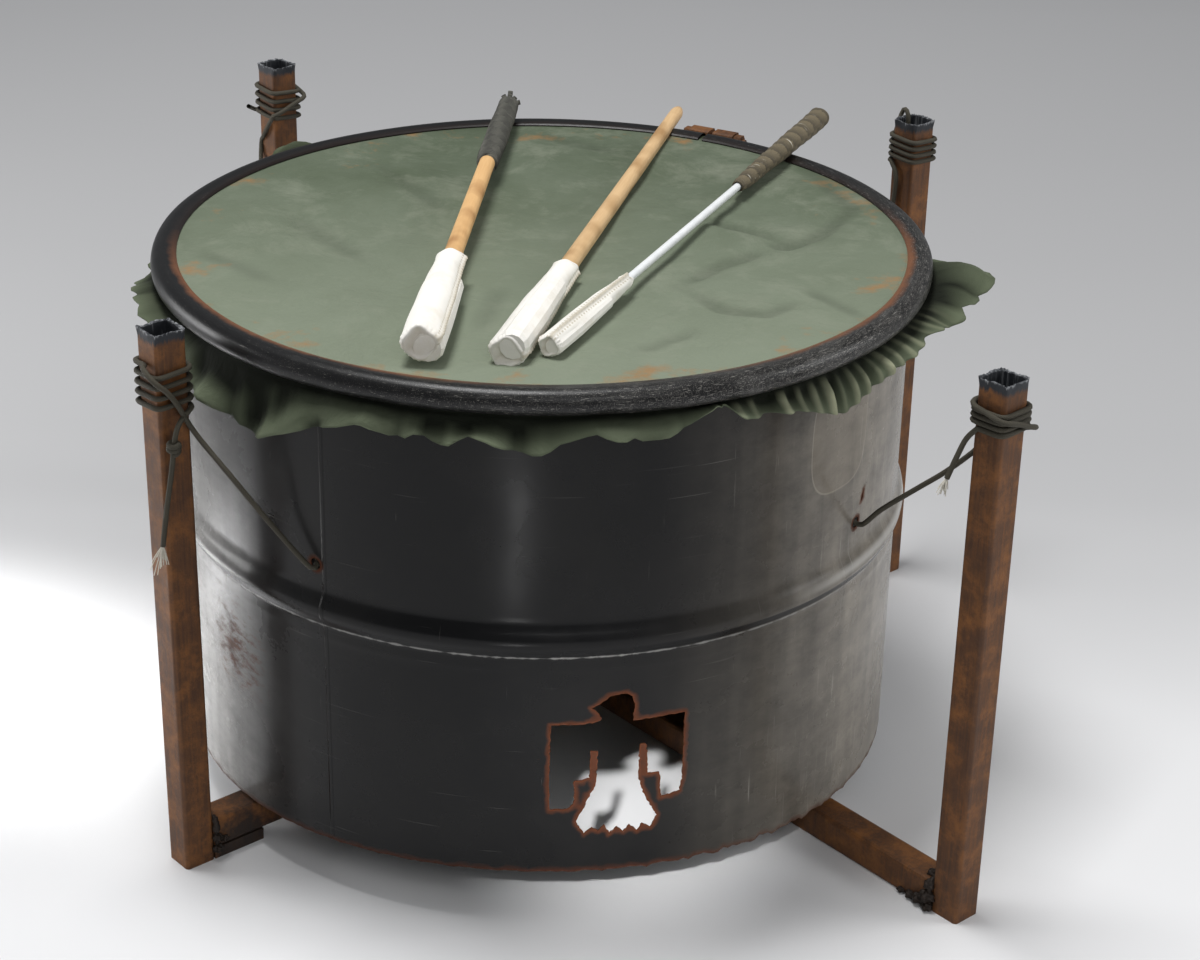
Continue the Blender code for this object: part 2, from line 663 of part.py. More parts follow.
TURNS = {                   # start, way, turns climbing, turns in all, heights above the post's top
    "front_right": (60.0, -1, 0.68, 4.69, (-0.048, -0.0185, -0.037)),
    "front_left": (-27.0, -1, 0.30, 5.00, (-0.070, -0.0245, -0.061)),
    "back_right": (-150.0, -1, 0.05, 4.22, (-0.041, -0.038, -0.0135)),
    "back_left": (-119.0, 1, 0.75, 4.69, (-0.0463, -0.020, -0.051)),
}
TAILS = {
    "front_right": [
        by_post("front_right", 0.0225, 180.0, -0.047), by_post("front_right", 0.028, 182.0, -0.060),
        by_post("front_right", 0.034, 183.0, -0.077),
    ],
    "front_left": [
        by_post("front_left", 0.0228, -61.0, -0.070), by_post("front_left", 0.0222, -76.0, -0.105),
        by_post("front_left", 0.0225, -90.0, -0.137), by_post("front_left", 0.0228, -99.0, -0.162),
    ],
    "back_right": [
        by_post("back_right", 0.0156, 131.0, 0.002), by_post("back_right", 0.0118, 131.0, 0.0064),
        by_post("back_right", 0.0080, 131.0, 0.002), by_post("back_right", 0.0072, 131.0, -0.012),
    ],
    "back_left": [
        by_post("back_left", 0.0235, 150.0, -0.048), by_post("back_left", 0.0262, 168.0, -0.044),
        by_post("back_left", 0.0275, 180.0, -0.041),
    ],
}


def make_cord(corner):
    """The whole cord of one corner, and the stopper knot that holds it inside the shell."""
    azimuth = hole_azimuths[corner]
    knot_radius_at = SHELL_RADIUS - SHELL_WALL - CLEAR - KNOT_RADIUS
    end_radius = knot_radius_at + KNOT_RADIUS * KNOT_FACE + CLEAR
    level = rim_z - HOLE_DROP
    inside_end = polar(end_radius, azimuth, level)
    outside = polar(SHELL_RADIUS + CORD_LEAD, azimuth, level)
    start, way, climb, count, below = TURNS[corner]
    heights = tuple(POST_HEIGHTS[corner] + b for b in below)
    turns = wound(corner, start, way, climb, count, heights)
    span = smooth_route([inside_end, outside, *SPANS[corner], turns[0], turns[1]], SPAN_STEP)[:-1]
    tail = smooth_route([turns[-2], turns[-1], *TAILS[corner]], TAIL_STEP)[1:]
    route = np.vstack([span, turns[1:-1], tail])
    cord_object("cord_" + corner, route)
    knot_middle = polar(knot_radius_at, azimuth, level)
    rows = np.linspace(-90.0, 90.0, 6)
    sides = np.arange(8) * 45.0
    grid = np.zeros((8, len(rows), 3))
    for row, lift in enumerate(np.radians(rows)):
        across = KNOT_RADIUS * math.cos(lift)
        grid[:, row] = polar(across, sides, knot_middle[2] + KNOT_RADIUS * math.sin(lift), knot_middle[:2])
    body("knot_" + corner, grid, cord_braid, along_closed=False)


for corner_name in ARMS:
    make_cord(corner_name)

# Beaters. Each lies with its padded end on the head and its handle across the closing ring.
# foot and end are plan places from the drum's axis, in shell radii; profile entries are distance
# along and radius.
BEATERS = {
    "beater_left": {
        "foot": (-0.2539, -0.8835),
        "end": (-0.1183, 1.0157),
        "cover": [(0.0, 0.0118), (0.006, 0.0137), (0.060, 0.0137), (0.120, 0.0122), (0.160, 0.0108)],
        "cover_wall": 0.0016,
        "shaft": [(0.010, 0.0070), (0.060, 0.0072), (0.300, 0.0068), (0.536, 0.0060)],
        "grip": [(0.389, 0.0084), (0.400, 0.0092), (0.470, 0.0095), (0.547, 0.0085)],
        "shaft_material": wood,
        "grip_material": grey_tape,
    },
    "beater_middle": {
        "foot": (-0.0522, -0.8557),
        "end": (0.4, 1.12),
        "cover": [(0.0, 0.0112), (0.006, 0.0131), (0.060, 0.0130), (0.120, 0.0112), (0.168, 0.0095)],
        "cover_wall": 0.0016,
        "shaft": [(0.010, 0.0066), (0.060, 0.0072), (0.350, 0.0064), (0.575, 0.0058), (0.583, 0.0040)],
        "grip": None,
        "shaft_material": wood,
        "grip_material": None,
    },
    "beater_right": {
        "foot": (0.0435, -0.8139),
        "end": (0.8243, 0.9948),
        "cover": [(0.0, 0.0070), (0.005, 0.0085), (0.040, 0.0088), (0.095, 0.0072), (0.137, 0.0052)],
        "cover_wall": 0.0013,
        "shaft": [(0.008, 0.0031), (0.060, 0.0031), (0.300, 0.0031), (0.553, 0.0031)],
        "grip": [(0.366, 0.0046), (0.385, 0.0062), (0.470, 0.0078), (0.566, 0.0088)],
        "shaft_material": glass_rod,
        "grip_material": olive_tape,
    },
}


def radius_at(profile, reach):
    """A turned profile's radius at a distance along it."""
    return float(np.interp(reach, [p[0] for p in profile], [p[1] for p in profile]))


def beater_line(spec):
    """The stick's start and direction, resting on the head and on the ring's crown."""
    foot = np.array(spec["foot"]) * SHELL_RADIUS
    run = np.array(spec["end"]) * SHELL_RADIUS - foot
    span = float(np.linalg.norm(run))
    level = run / span
    half_way = float(foot @ level)
    rim_reach = -half_way + math.sqrt(half_way ** 2 - float(foot @ foot) + bead_centre ** 2)
    lead = spec["grip"] or spec["shaft"]
    crown = ring_outer * math.sin(max(wrap_angles[:2], key=math.sin))
    rim_height = rim_z + crown + CLEAR + radius_at(lead, rim_reach)
    seat = spec["cover"][1]
    seat_place = foot + level * seat[0]
    seat_radius = float(np.linalg.norm(seat_place))
    inner, outer = head_radii[2], head_radii[3]
    share = np.clip((seat_radius - inner) / (outer - inner), 0.0, 1.0)
    head = float(head_middle(inner) * (1.0 - share) + head_middle(outer) * share)
    seat_height = rim_z + head + CANVAS / 2 + CLEAR + seat[1]
    slope = (rim_height - seat_height) / (rim_reach - seat[0])
    start = on_drum(foot[0], foot[1], 0.0)
    start[2] = seat_height - slope * seat[0]
    direction = np.array([level[0], level[1], slope])
    return start, direction / np.linalg.norm(direction)


def stick_grid(line, rows):
    """Rings of points round a stick: each row is a distance along it and a radius."""
    start, direction = line
    side = np.cross(direction, (0.0, 0.0, 1.0))
    side /= np.linalg.norm(side)
    rise = np.cross(side, direction)
    loop = on_circle(1.0, BEATER_SIDES)
    ring = loop[:, :1] * side + loop[:, 1:] * rise
    return np.stack([start + direction * reach + ring * radius for reach, radius in rows], axis=1)


def turned(name, line, profile, material):
    """A solid turned piece, closed at both ends."""
    rows = [(profile[0][0], 0.0), *profile, (profile[-1][0], 0.0)]
    return body(name, stick_grid(line, rows), material, along_closed=False)


def make_beater(name, spec):
    """A shaft with a padded leather cover on one end and, on two of them, a wound grip."""
    line = beater_line(spec)
    cover = spec["cover"]
    shaft = spec["shaft"]
    wall = spec["cover_wall"]
    turned(name + "_shaft", line, shaft, spec["shaft_material"])
    lining = [(max(reach, wall), radius - wall) for reach, radius in cover]
    outside = [(0.0, 0.0), *cover]
    inside = [*lining[:0:-1], (wall, lining[0][1]), (wall, 0.0)]
    body(name + "_cover", stick_grid(line, outside + inside), white_leather, along_closed=False)
    tip = wall + CLEAR
    padding_out = [(max(reach, tip), radius - wall - CLEAR) for reach, radius in cover[:-1]]
    padding_end = padding_out[-1][0]
    cave = shaft[0][0] - CLEAR
    padding_in = [
        (padding_end, radius_at(shaft, padding_end) + CLEAR),
        (shaft[1][0], shaft[1][1] + CLEAR),
        (cave, shaft[0][1] + CLEAR),
        (cave, 0.0),
    ]
    padding_rows = [(tip, 0.0), *padding_out, *padding_in]
    body(name + "_padding", stick_grid(line, padding_rows), felt, along_closed=False)
    if spec["grip"]:
        grip = spec["grip"]
        bore_end = shaft[-1][0] + CLEAR
        bore_rows = [(reach, radius_at(shaft, reach) + CLEAR) for reach, _ in grip[:-1]]
        inner = [(bore_end, 0.0), (bore_end, shaft[-1][1] + CLEAR), *bore_rows[::-1]]
        rows = [*inner, *grip, (grip[-1][0], 0.0)]
        body(name + "_grip", stick_grid(line, rows), spec["grip_material"], along_closed=False)


for beater_name, beater_spec in BEATERS.items():
    make_beater(beater_name, beater_spec)


# What moves: each group hangs on an empty on its joint's axis
def carried_by(name, point, pieces):
    """An empty on a joint's axis, with the pieces that move about it as its children."""
    axis = bpy.data.objects.new(name, None)
    axis.location = point
    bpy.context.scene.collection.objects.link(axis)
    for piece in pieces:
        moved = bpy.data.objects[piece]
        moved.parent = axis
        moved.matrix_parent_inverse = Matrix.Translation(point).inverted()


drum_pieces = ["shell", "closing_ring", "lug_left", "lug_right", "ring_nut", "canvas_head"]
drum_pieces += ["knot_" + corner_name for corner_name in ARMS]
carried_by("drum_axis", on_drum(0.0, 0.0, 0.0), drum_pieces)
carried_by("bolt_axis", bolt_line, ["ring_bolt"])
for beater_name, beater_spec in BEATERS.items():
    own = [made.name for made in bpy.data.objects if made.name.startswith(beater_name + "_")]
    carried_by(beater_name + "_axis", beater_line(beater_spec)[0], own)
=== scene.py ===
"""The powwow drum's looks: a steel drum's upper half with a tent-canvas head, tied with cords in a
welded stand, with three beaters lying on the head. Metres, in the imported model's own frame."""
import math
from functools import partial

import bmesh
import bpy
import numpy as np
from mathutils import Matrix, Vector
from mathutils.geometry import delaunay_2d_cdt


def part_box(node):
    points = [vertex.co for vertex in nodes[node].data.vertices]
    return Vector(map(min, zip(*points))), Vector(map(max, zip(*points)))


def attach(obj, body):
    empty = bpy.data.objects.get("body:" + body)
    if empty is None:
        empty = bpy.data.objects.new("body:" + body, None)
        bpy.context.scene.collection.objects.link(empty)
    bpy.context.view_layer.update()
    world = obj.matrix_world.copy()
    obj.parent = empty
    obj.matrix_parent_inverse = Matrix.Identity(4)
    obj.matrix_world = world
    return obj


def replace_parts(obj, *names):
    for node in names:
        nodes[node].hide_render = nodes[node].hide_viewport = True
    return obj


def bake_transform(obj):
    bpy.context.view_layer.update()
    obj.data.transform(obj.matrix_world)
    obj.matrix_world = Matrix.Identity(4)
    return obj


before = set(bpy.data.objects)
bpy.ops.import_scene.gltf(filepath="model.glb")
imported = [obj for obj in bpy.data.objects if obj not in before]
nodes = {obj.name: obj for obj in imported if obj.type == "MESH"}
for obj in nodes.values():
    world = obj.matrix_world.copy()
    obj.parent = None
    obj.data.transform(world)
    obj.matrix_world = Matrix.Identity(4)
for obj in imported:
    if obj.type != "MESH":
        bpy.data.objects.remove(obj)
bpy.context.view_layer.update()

# Camera: the photograph looks down on the drum from standing height, through a short telephoto lens.
CAMERA_PLACE = (0.0041, -1.9435, 1.1471)
CAMERA_DOWN = math.radians(25.89)
CAMERA_ROLL = math.radians(1.17)
lens = bpy.data.cameras.new("photo_camera")
lens.sensor_width = 36.0
lens.lens = 77.15
camera = bpy.data.objects.new("photo_camera", lens)
turned = Matrix.Rotation(math.pi / 2 - CAMERA_DOWN, 4, "X") @ Matrix.Rotation(CAMERA_ROLL, 4, "Z")
camera.matrix_world = Matrix.Translation(CAMERA_PLACE) @ turned
bpy.context.scene.collection.objects.link(camera)
bpy.context.scene.camera = camera
bpy.context.scene.view_settings.view_transform = "Standard"


# Cords: one length of 4 mm olive braided nylon at each corner. It comes through a hole in the shell,
# crosses to its post, is wound on it and ends in a tail. A stopper knot holds it inside the shell.
shell_low, shell_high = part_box("shell")
BEAD = 0.0060
CENTRE = np.array([(shell_low[0] + shell_high[0]) / 2, (shell_low[1] + shell_high[1]) / 2])
RIM_Z = shell_high[2] - BEAD
SHELL_RADIUS = 0.2875
HOLE_Z = RIM_Z - 0.1557
TUBE = 0.0254
CORD_RADIUS = 0.002
CORD_OFF_POST = 0.0006
CORD_LAYER = 0.0043         # how far the climbing part stands out over the turns below it
SQUARENESS = 6.0
POSTS = {name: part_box("post_" + name) for name in ("front_right", "front_left", "back_right", "back_left")}
FACING = {"front_right": -48.8, "front_left": -138.8, "back_right": 41.2, "back_left": 131.2}
POST_TOPS = {"front_right": 0.444, "front_left": 0.447, "back_right": 0.447, "back_left": 0.455}
HOLES = {"front_right": -33.0, "front_left": -123.0, "back_right": 57.0, "back_left": 147.0}


def srgb(code):
    """A hex colour as linear red, green, blue and alpha."""
    shares = np.array([int(code[i:i + 2], 16) for i in (1, 3, 5)]) / 255.0
    linear = np.where(shares <= 0.04045, shares / 12.92, ((shares + 0.055) / 1.055) ** 2.4)
    return (*linear.tolist(), 1.0)


def plug(node, values):
    """Fills a node's sockets, by name or number.

    A value is a plain one, a hex colour, a socket, or a node, which stands for its first result in use.
    """
    for name, value in values.items():
        if isinstance(value, bpy.types.Node):
            value = next(result for result in value.outputs if result.enabled)
        if isinstance(value, bpy.types.NodeSocket):
            node.id_data.links.new(value, node.inputs[name])
        else:
            node.inputs[name].default_value = srgb(value) if isinstance(value, str) else value


def add_node(tree, kind, *inputs, **named):
    """Adds a node. inputs fill its sockets in use, in their order. named ones are its properties, in
    small letters, or its sockets. A Mix node mixes colours unless it is told otherwise."""
    made = tree.nodes.new("ShaderNode" + kind)
    if kind == "Mix":
        made.data_type = "RGBA"
    for name in filter(str.islower, list(named)):
        setattr(made, name, named.pop(name))
    in_use = [number for number, socket in enumerate(made.inputs) if socket.enabled]
    plug(made, {**dict(zip(in_use, inputs)), **named})
    return made


def new_material(name):
    """An empty node material, the function that adds nodes to it, and its Principled shader."""
    made = bpy.data.materials.new(name)
    made.use_nodes = True
    return made, partial(add_node, made.node_tree), made.node_tree.nodes["Principled BSDF"]


def polar(radius, azimuth, height, middle=CENTRE):
    """Points from radius, azimuth in degrees and height about an upright axis, as an array."""
    turn = np.radians(azimuth)
    x = middle[0] + radius * np.cos(turn)
    y = middle[1] + radius * np.sin(turn)
    return np.stack(np.broadcast_arrays(x, y, height), axis=-1)


def post_axis(corner):
    """The middle of a post, seen from above."""
    low, high = POSTS[corner]
    return np.array([(low[0] + high[0]) / 2, (low[1] + high[1]) / 2])


def surface(name, grid, close_u=False, close_v=False, uv_scale=None, flip=False):
    """A mesh object from a grid of points (u, v, 3), closed on itself in u or v where asked.

    uv_scale gives a UV map in metres: its lengths are the grid's real width and height.
    """
    rows, columns = grid.shape[:2]
    index = np.arange(rows * columns).reshape(rows, columns)
    u0 = np.arange(rows if close_u else rows - 1)
    v0 = np.arange(columns if close_v else columns - 1)
    a = index[np.ix_(u0, v0)]
    b = index[np.ix_((u0 + 1) % rows, v0)]
    c = index[np.ix_((u0 + 1) % rows, (v0 + 1) % columns)]
    d = index[np.ix_(u0, (v0 + 1) % columns)]
    faces = np.stack([a, d, c, b] if flip else [a, b, c, d], axis=-1).reshape(-1, 4)
    mesh = bpy.data.meshes.new(name)
    mesh.from_pydata(grid.reshape(-1, 3), [], faces)
    if uv_scale is not None:
        u = np.stack([u0, u0 + 1, u0 + 1, u0], axis=-1)[:, None, :] * (uv_scale[0] / len(u0))
        v = np.stack([v0, v0, v0 + 1, v0 + 1], axis=-1)[None, :, :] * (uv_scale[1] / len(v0))
        u, v = np.broadcast_arrays(u, v)
        order = [0, 3, 2, 1] if flip else [0, 1, 2, 3]
        both = np.stack([u, v], axis=-1)[:, :, order, :]
        mesh.uv_layers.new(name="metres").data.foreach_set("uv", both.astype(np.float32).ravel())
    mesh.shade_smooth()
    made = bpy.data.objects.new(name, mesh)
    bpy.context.scene.collection.objects.link(made)
    return made


def together(name, parts):
    """Puts loose pieces of one material into the first of them, under one name."""
    joined = bmesh.new()
    for part in parts:
        joined.from_mesh(part.data)
    joined.to_mesh(parts[0].data)
    joined.free()
    for part in parts[1:]:
        bpy.data.objects.remove(part)
    parts[0].name = name
    return parts[0]


def recoat(names, material):
    """Gives CAD nodes, whose shape stays, a better material."""
    for name in names:
        nodes[name].data.materials.clear()
        nodes[name].data.materials.append(material)


def unit(direction):
    """A direction at length 1."""
    return direction / np.linalg.norm(direction)


def smooth_route(points, spacing):
    """A smooth curve through given points: a cubic between each two, slopes from their neighbours."""
    points = np.array(points, dtype=float)
    padded = np.vstack([2 * points[0] - points[1], points, 2 * points[-1] - points[-2]])
    curve = []
    for i in range(1, len(padded) - 2):
        a, b, c, d = padded[i - 1:i + 3]
        steps = max(1, round(float(np.linalg.norm(c - b)) / spacing))
        t = (np.arange(steps) / steps)[:, None]
        bend = 2 * a - 5 * b + 4 * c - d
        twist = -a + 3 * b - 3 * c + d
        curve.append(0.5 * (2 * b + (c - a) * t + bend * t * t + twist * t ** 3))
    return np.vstack([*curve, points[-1:]])


def wound(corner, start, way, climb, turns, heights):
    """Turns on a square post: across the outside of the rest to the first turn, then one under another.

    The cord's plan is a rounded square: |cos|^n + |sin|^n about the post's faces, n its squareness.
    """
    low, first, last = heights
    travelled = np.linspace(0.0, turns, int(turns * 44))
    angles = start + way * 360.0 * travelled
    rise = np.clip(travelled / climb, 0.0, 1.0)
    fall = np.clip((travelled - climb) / (turns - climb), 0.0, 1.0)
    height = low + (first - low) * np.sin(rise * math.pi / 2) + (last - first) * fall
    outward = np.clip(3.0 * np.sin(rise * math.pi), 0.0, 1.0)
    reach = TUBE / 2 + CORD_OFF_POST + CORD_RADIUS + CORD_LAYER * outward
    turn = np.radians(angles - FACING[corner])
    power = np.abs(np.cos(turn)) ** SQUARENESS + np.abs(np.sin(turn)) ** SQUARENESS
    return polar(reach * power ** (-1.0 / SQUARENESS), angles, POST_TOPS[corner] + height, post_axis(corner))


def on_drum(x, y, z):
    """A place given from the drum's axis and the rim's middle."""
    return np.array([CENTRE[0] + x, CENTRE[1] + y, RIM_Z + z])


def by_post(corner, reach, azimuth, z):
    """A place by its distance and azimuth from a post's axis, and its height above the post's top."""
    return polar(reach, azimuth, POST_TOPS[corner] + z, post_axis(corner))


SPANS = {                   # points between the shell and the post
    "front_right": [
        on_drum(0.2578, -0.1773, -0.1339), on_drum(0.2785, -0.2031, -0.1040),
        on_drum(0.2953, -0.2239, -0.0800), on_drum(0.3106, -0.2429, -0.0551),
        by_post("front_right", 0.0225, 95.0, -0.055),
    ],
    "front_left": [
        on_drum(-0.1888, -0.2363, -0.1259), on_drum(-0.2166, -0.2321, -0.0902),
        by_post("front_left", 0.0229, -16.0, -0.0794),
    ],
    "back_right": [
        on_drum(0.200, 0.254, -0.164), on_drum(0.250, 0.270, -0.154), on_drum(0.285, 0.281, -0.130),
        by_post("back_right", 0.0200, -153.0, -0.102), by_post("back_right", 0.0163, -153.0, -0.0748),
        by_post("back_right", 0.0160, -150.0, -0.0500),
    ],
    "back_left": [
        on_drum(-0.256, 0.220, -0.170), on_drum(-0.262, 0.290, -0.170), on_drum(-0.270, 0.350, -0.140),
        by_post("back_left", 0.0175, -168.0, -0.0839), by_post("back_left", 0.0154, -144.0, -0.0647),
    ],
}
TURNS = {                   # start, way, turns climbing, turns in all, heights above the post's top
    "front_right": (60.0, -1, 0.68, 4.69, (-0.048, -0.0185, -0.037)),
    "front_left": (-27.0, -1, 0.30, 5.00, (-0.070, -0.0245, -0.061)),
    "back_right": (-150.0, -1, 0.05, 4.22, (-0.041, -0.038, -0.0135)),
    "back_left": (-119.0, 1, 0.75, 4.69, (-0.0463, -0.020, -0.051)),
}
TAILS = {                   # points from the last turn to the cord's end
    "front_right": [
        by_post("front_right", 0.0225, 180.0, -0.047), by_post("front_right", 0.028, 182.0, -0.060),
        by_post("front_right", 0.034, 183.0, -0.077),
    ],
    "front_left": [
        by_post("front_left", 0.0228, -61.0, -0.070), by_post("front_left", 0.0222, -76.0, -0.105),
        by_post("front_left", 0.0225, -90.0, -0.137), by_post("front_left", 0.0228, -99.0, -0.162),
    ],
    "back_right": [
        by_post("back_right", 0.0156, 131.0, 0.002), by_post("back_right", 0.0118, 131.0, 0.0064),
        by_post("back_right", 0.0080, 131.0, 0.002), by_post("back_right", 0.0072, 131.0, -0.012),
    ],
    "back_left": [
        by_post("back_left", 0.0235, 150.0, -0.048), by_post("back_left", 0.0262, 168.0, -0.044),
        by_post("back_left", 0.0275, 180.0, -0.041),
    ],
}


def tube(name, path, radius, sides=10):
    """A round tube along a path: rings on frames carried along it without twist."""
    tangent = np.gradient(path, axis=0)
    tangent /= np.linalg.norm(tangent, axis=1)[:, None]
    across = np.cross(tangent[0], (0.3, 0.2, 1.0))
    frames = []
    for direction in tangent:
        across = across - direction * (across @ direction)
        across /= np.linalg.norm(across)
        frames.append(across)
    across = np.array(frames)
    third = np.cross(tangent, across)
    turn = np.arange(sides + 1) * 2 * np.pi / sides
    radius = np.broadcast_to(radius, len(path))
    ring = np.cos(turn)[:, None, None] * across + np.sin(turn)[:, None, None] * third
    grid = path + ring * radius[:, None]
    length = float(np.linalg.norm(np.diff(path, axis=0), axis=1).sum())
    made = surface(name, grid, uv_scale=(2 * math.pi * float(radius.mean()), length), flip=True)
    return made, length


# Braided nylon sheath: a matt olive-brown cover of crossing flat yarns, 1.3 mm apart, that catches light
# on each yarn's crown. The braid is the higher of two slanted waves, drawn as bump and as shade.
cord_material, add, shader = new_material("olive_braided_nylon")
cord_uv = add("TexCoord").outputs["UV"]
crossing = []
for slant in (1.0, -1.0):
    turned_uv = add("Mapping", cord_uv, Rotation=(0, 0, slant * 0.9))
    wave = add("TexWave", turned_uv, 240.0, 0.0, bands_direction="X")
    crossing.append(wave.outputs["Fac"])
braid = add("Math", crossing[0], crossing[1], operation="MAXIMUM")
fade = add("TexNoise", cord_uv, 60.0, 3.0)
yarn = add("Mix", braid, "#1a1914", "#3d3a30")
faded = add("Mix", fade, yarn, "#454033")
bump = add("Bump", 0.5, 0.0004, Height=braid)
plug(shader, {"Base Color": faded, "Roughness": 0.82, "Normal": bump})

# White core threads of a cut cord, frayed out past the sheath: plain undyed nylon, in 1 mm shades.
core_material, add, shader = new_material("white_core_threads")
strand_uv = add("TexCoord").outputs["UV"]
strand_noise = add("TexNoise", strand_uv, 900.0)
core = add("Mix", strand_noise, "#b9b3a4", "#e9e5da")
plug(shader, {"Base Color": core, "Roughness": 0.7})

chance = np.random.default_rng(12)
FRAYED = {"front_right": 0.009, "front_left": 0.013}     # how far the core threads stand out
CORE_THREADS = 26
CORE_THREAD_RADIUS = 0.00035
KNOT_LOOP = 0.0036          # an overhand knot's turns about the tail, and its half length
KNOT_HALF = 0.0035
for corner in POSTS:
    inside_end = polar(SHELL_RADIUS - 0.0012, HOLES[corner], HOLE_Z)
    outside = polar(SHELL_RADIUS + 0.006, HOLES[corner], HOLE_Z)
    start, way, climb, count, below = TURNS[corner]
    turns = wound(corner, start, way, climb, count, below)
    span = smooth_route([inside_end, outside, *SPANS[corner], turns[3]], 0.004)[:-1]
    tail = smooth_route([turns[-4], *TAILS[corner]], 0.003)
    route = np.vstack([span, turns[3:-4], tail])
    cord, cord_length = tube("braided_cord_" + corner, route, CORD_RADIUS)
    cord.data.materials.append(cord_material)
    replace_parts(cord, "cord_" + corner)
    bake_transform(cord)
    if corner in FRAYED:
        tip = route[-1]
        along = unit(route[-1] - route[-3])
        wisps = []
        for strand in range(CORE_THREADS):
            spread = chance.normal(0.0, 0.55, 3)
            reach = FRAYED[corner] * chance.uniform(0.6, 1.1)
            hair = tip - along * 0.001 + np.outer(np.linspace(0, 1, 6), along + spread * 0.5) * reach
            hair[:, 2] -= np.linspace(0, 1, 6) ** 2 * reach * 0.3
            wisps.append(tube("core_thread_%s_%d" % (corner, strand), hair, CORE_THREAD_RADIUS, 5)[0])
            wisps[-1].data.materials.append(core_material)
        fray = together("core_threads_" + corner, wisps)
        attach(fray, "stand")
    if corner == "front_left":
        middle = tail[len(tail) // 3]
        downward = unit(tail[len(tail) // 3 + 2] - middle)
        side = unit(np.cross(downward, (0.2, 1.0, 0.0)))
        turn = np.linspace(0.0, 4.4 * np.pi, 60)[:, None]
        loops = middle + KNOT_LOOP * (np.cos(turn) * side + np.sin(turn) * np.cross(downward, side))
        loops = loops + downward * (2 * KNOT_HALF * turn / turn[-1] - KNOT_HALF + 0.0012 * np.sin(turn))
        overhand, _ = tube("overhand_knot", loops, CORD_RADIUS)
        overhand.data.materials.append(cord_material)
        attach(overhand, "stand")
    recoat(["knot_" + corner], cord_material)


# Stage: one floor of pale seamless paper, its colour painted paler in front and greyer towards the back as a
# painted falloff of light, lit by large soft boxes from the left, the right, above and the front, by a strip
# on the floor, and by three spots on the paper.
floor_material, add, shader = new_material("pale_seamless_paper")
place = add("TexCoord").outputs["Object"]
split = add("SeparateXYZ", place)
depth_share = add("MapRange", split.outputs["Y"], -0.6, 2.2)
painted_falloff = add("ValToRGB", depth_share)
FLOOR_FALLOFF_TONES = {             # share of the depth: how pale the paper is painted there, a painted falloff of light
    0.0: "#e4e4e5", 0.096: "#e5e5e6", 0.157: "#e1e1e2", 0.19: "#dfdfe0", 0.229: "#d4d4d5", 0.268: "#cacacb",
    0.311: "#c1c1c2", 0.357: "#b9b9ba", 0.407: "#b7b7b8", 0.60: "#b8b8b9", 0.75: "#bcbcbd", 1.0: "#c6c6c7",
}
for share, tone in FLOOR_FALLOFF_TONES.items():
    stops = painted_falloff.color_ramp.elements
    stop = stops[0] if share == 0.0 else stops[-1] if share == 1.0 else stops.new(share)
    stop.color = srgb(tone)
plug(shader, {"Base Color": painted_falloff, "Roughness": 0.9, "Specular IOR Level": 0.1})
reach = np.linspace(-6.0, 6.0, 25)
floor = surface("floor", np.stack([*np.meshgrid(reach, reach, indexing="ij"), np.zeros((25, 25))], axis=-1))
floor.data.materials.append(floor_material)

world = bpy.data.worlds.new("soft_room")
world.use_nodes = True
plug(world.node_tree.nodes["Background"], {"Color": "#c4c6c9", "Strength": 0.38})
bpy.context.scene.world = world
SOFT_BOXES = {              # place, what it points at, size, watts
    "left_box": ((-2.2, 0.35, 0.60), (-0.04, -0.05, 0.2), (1.0, 0.8), 20.0),
    "right_box": ((2.6, -0.3, 1.3), (-0.04, -0.05, 0.2), (1.2, 1.6), 26.0),
    "top_box": ((-0.45, 0.02, 3.3), (-0.04, -0.2, 0.0), (1.0, 1.0), 78.0),
    "front_fill": ((0.9, -3.4, 2.9), (0.3, -0.4, 0.0), (1.6, 1.6), 29.0),
    "floor_strip": ((-0.119, -1.0, 0.01), (-0.119, -1.0, 3.0), (0.030, 0.22), 0.40),
}
FLOOR_SPOTS = {             # place, what it points at, cone in degrees, softness of its edge, watts
    "left_glow": ((-0.78, -0.07, 2.2), (-0.68, -0.03, 0.0), 8.0, 1.0, 1500.0),
    "left_halo": ((-1.90, 0.75, 1.3), (-0.57, 0.02, 0.0), 12.6, 1.0, 330.0),
    "through_figure": ((-0.26, -2.62, 2.05), (0.022, -0.337, 0.124), 3.3, 0.35, 640.0),
}


def hang(name, light, spot, aim):
    """Puts a lamp at a spot, pointing at a place."""
    lamp = bpy.data.objects.new(name, light)
    lamp.location = spot
    lamp.rotation_euler = (Vector(aim) - Vector(spot)).to_track_quat("-Z", "Y").to_euler()
    bpy.context.scene.collection.objects.link(lamp)


for name, (spot, aim, size, watts) in SOFT_BOXES.items():
    box_light = bpy.data.lights.new(name, "AREA")
    box_light.shape = "RECTANGLE"
    box_light.size, box_light.size_y = size
    box_light.energy = watts
    hang(name, box_light, spot, aim)
for name, (spot, aim, cone, softness, watts) in FLOOR_SPOTS.items():
    cone_light = bpy.data.lights.new(name, "SPOT")
    cone_light.energy = watts
    cone_light.spot_size = math.radians(cone)
    cone_light.spot_blend = softness
    cone_light.shadow_soft_size = 0.07
    hang(name, cone_light, spot, aim)


# Stand: four posts and two crossing base tubes of 1 inch mild steel tube, left bare and rusted brown.
# The posts were cut to length with a torch, which left a ragged, slagged and blued top.

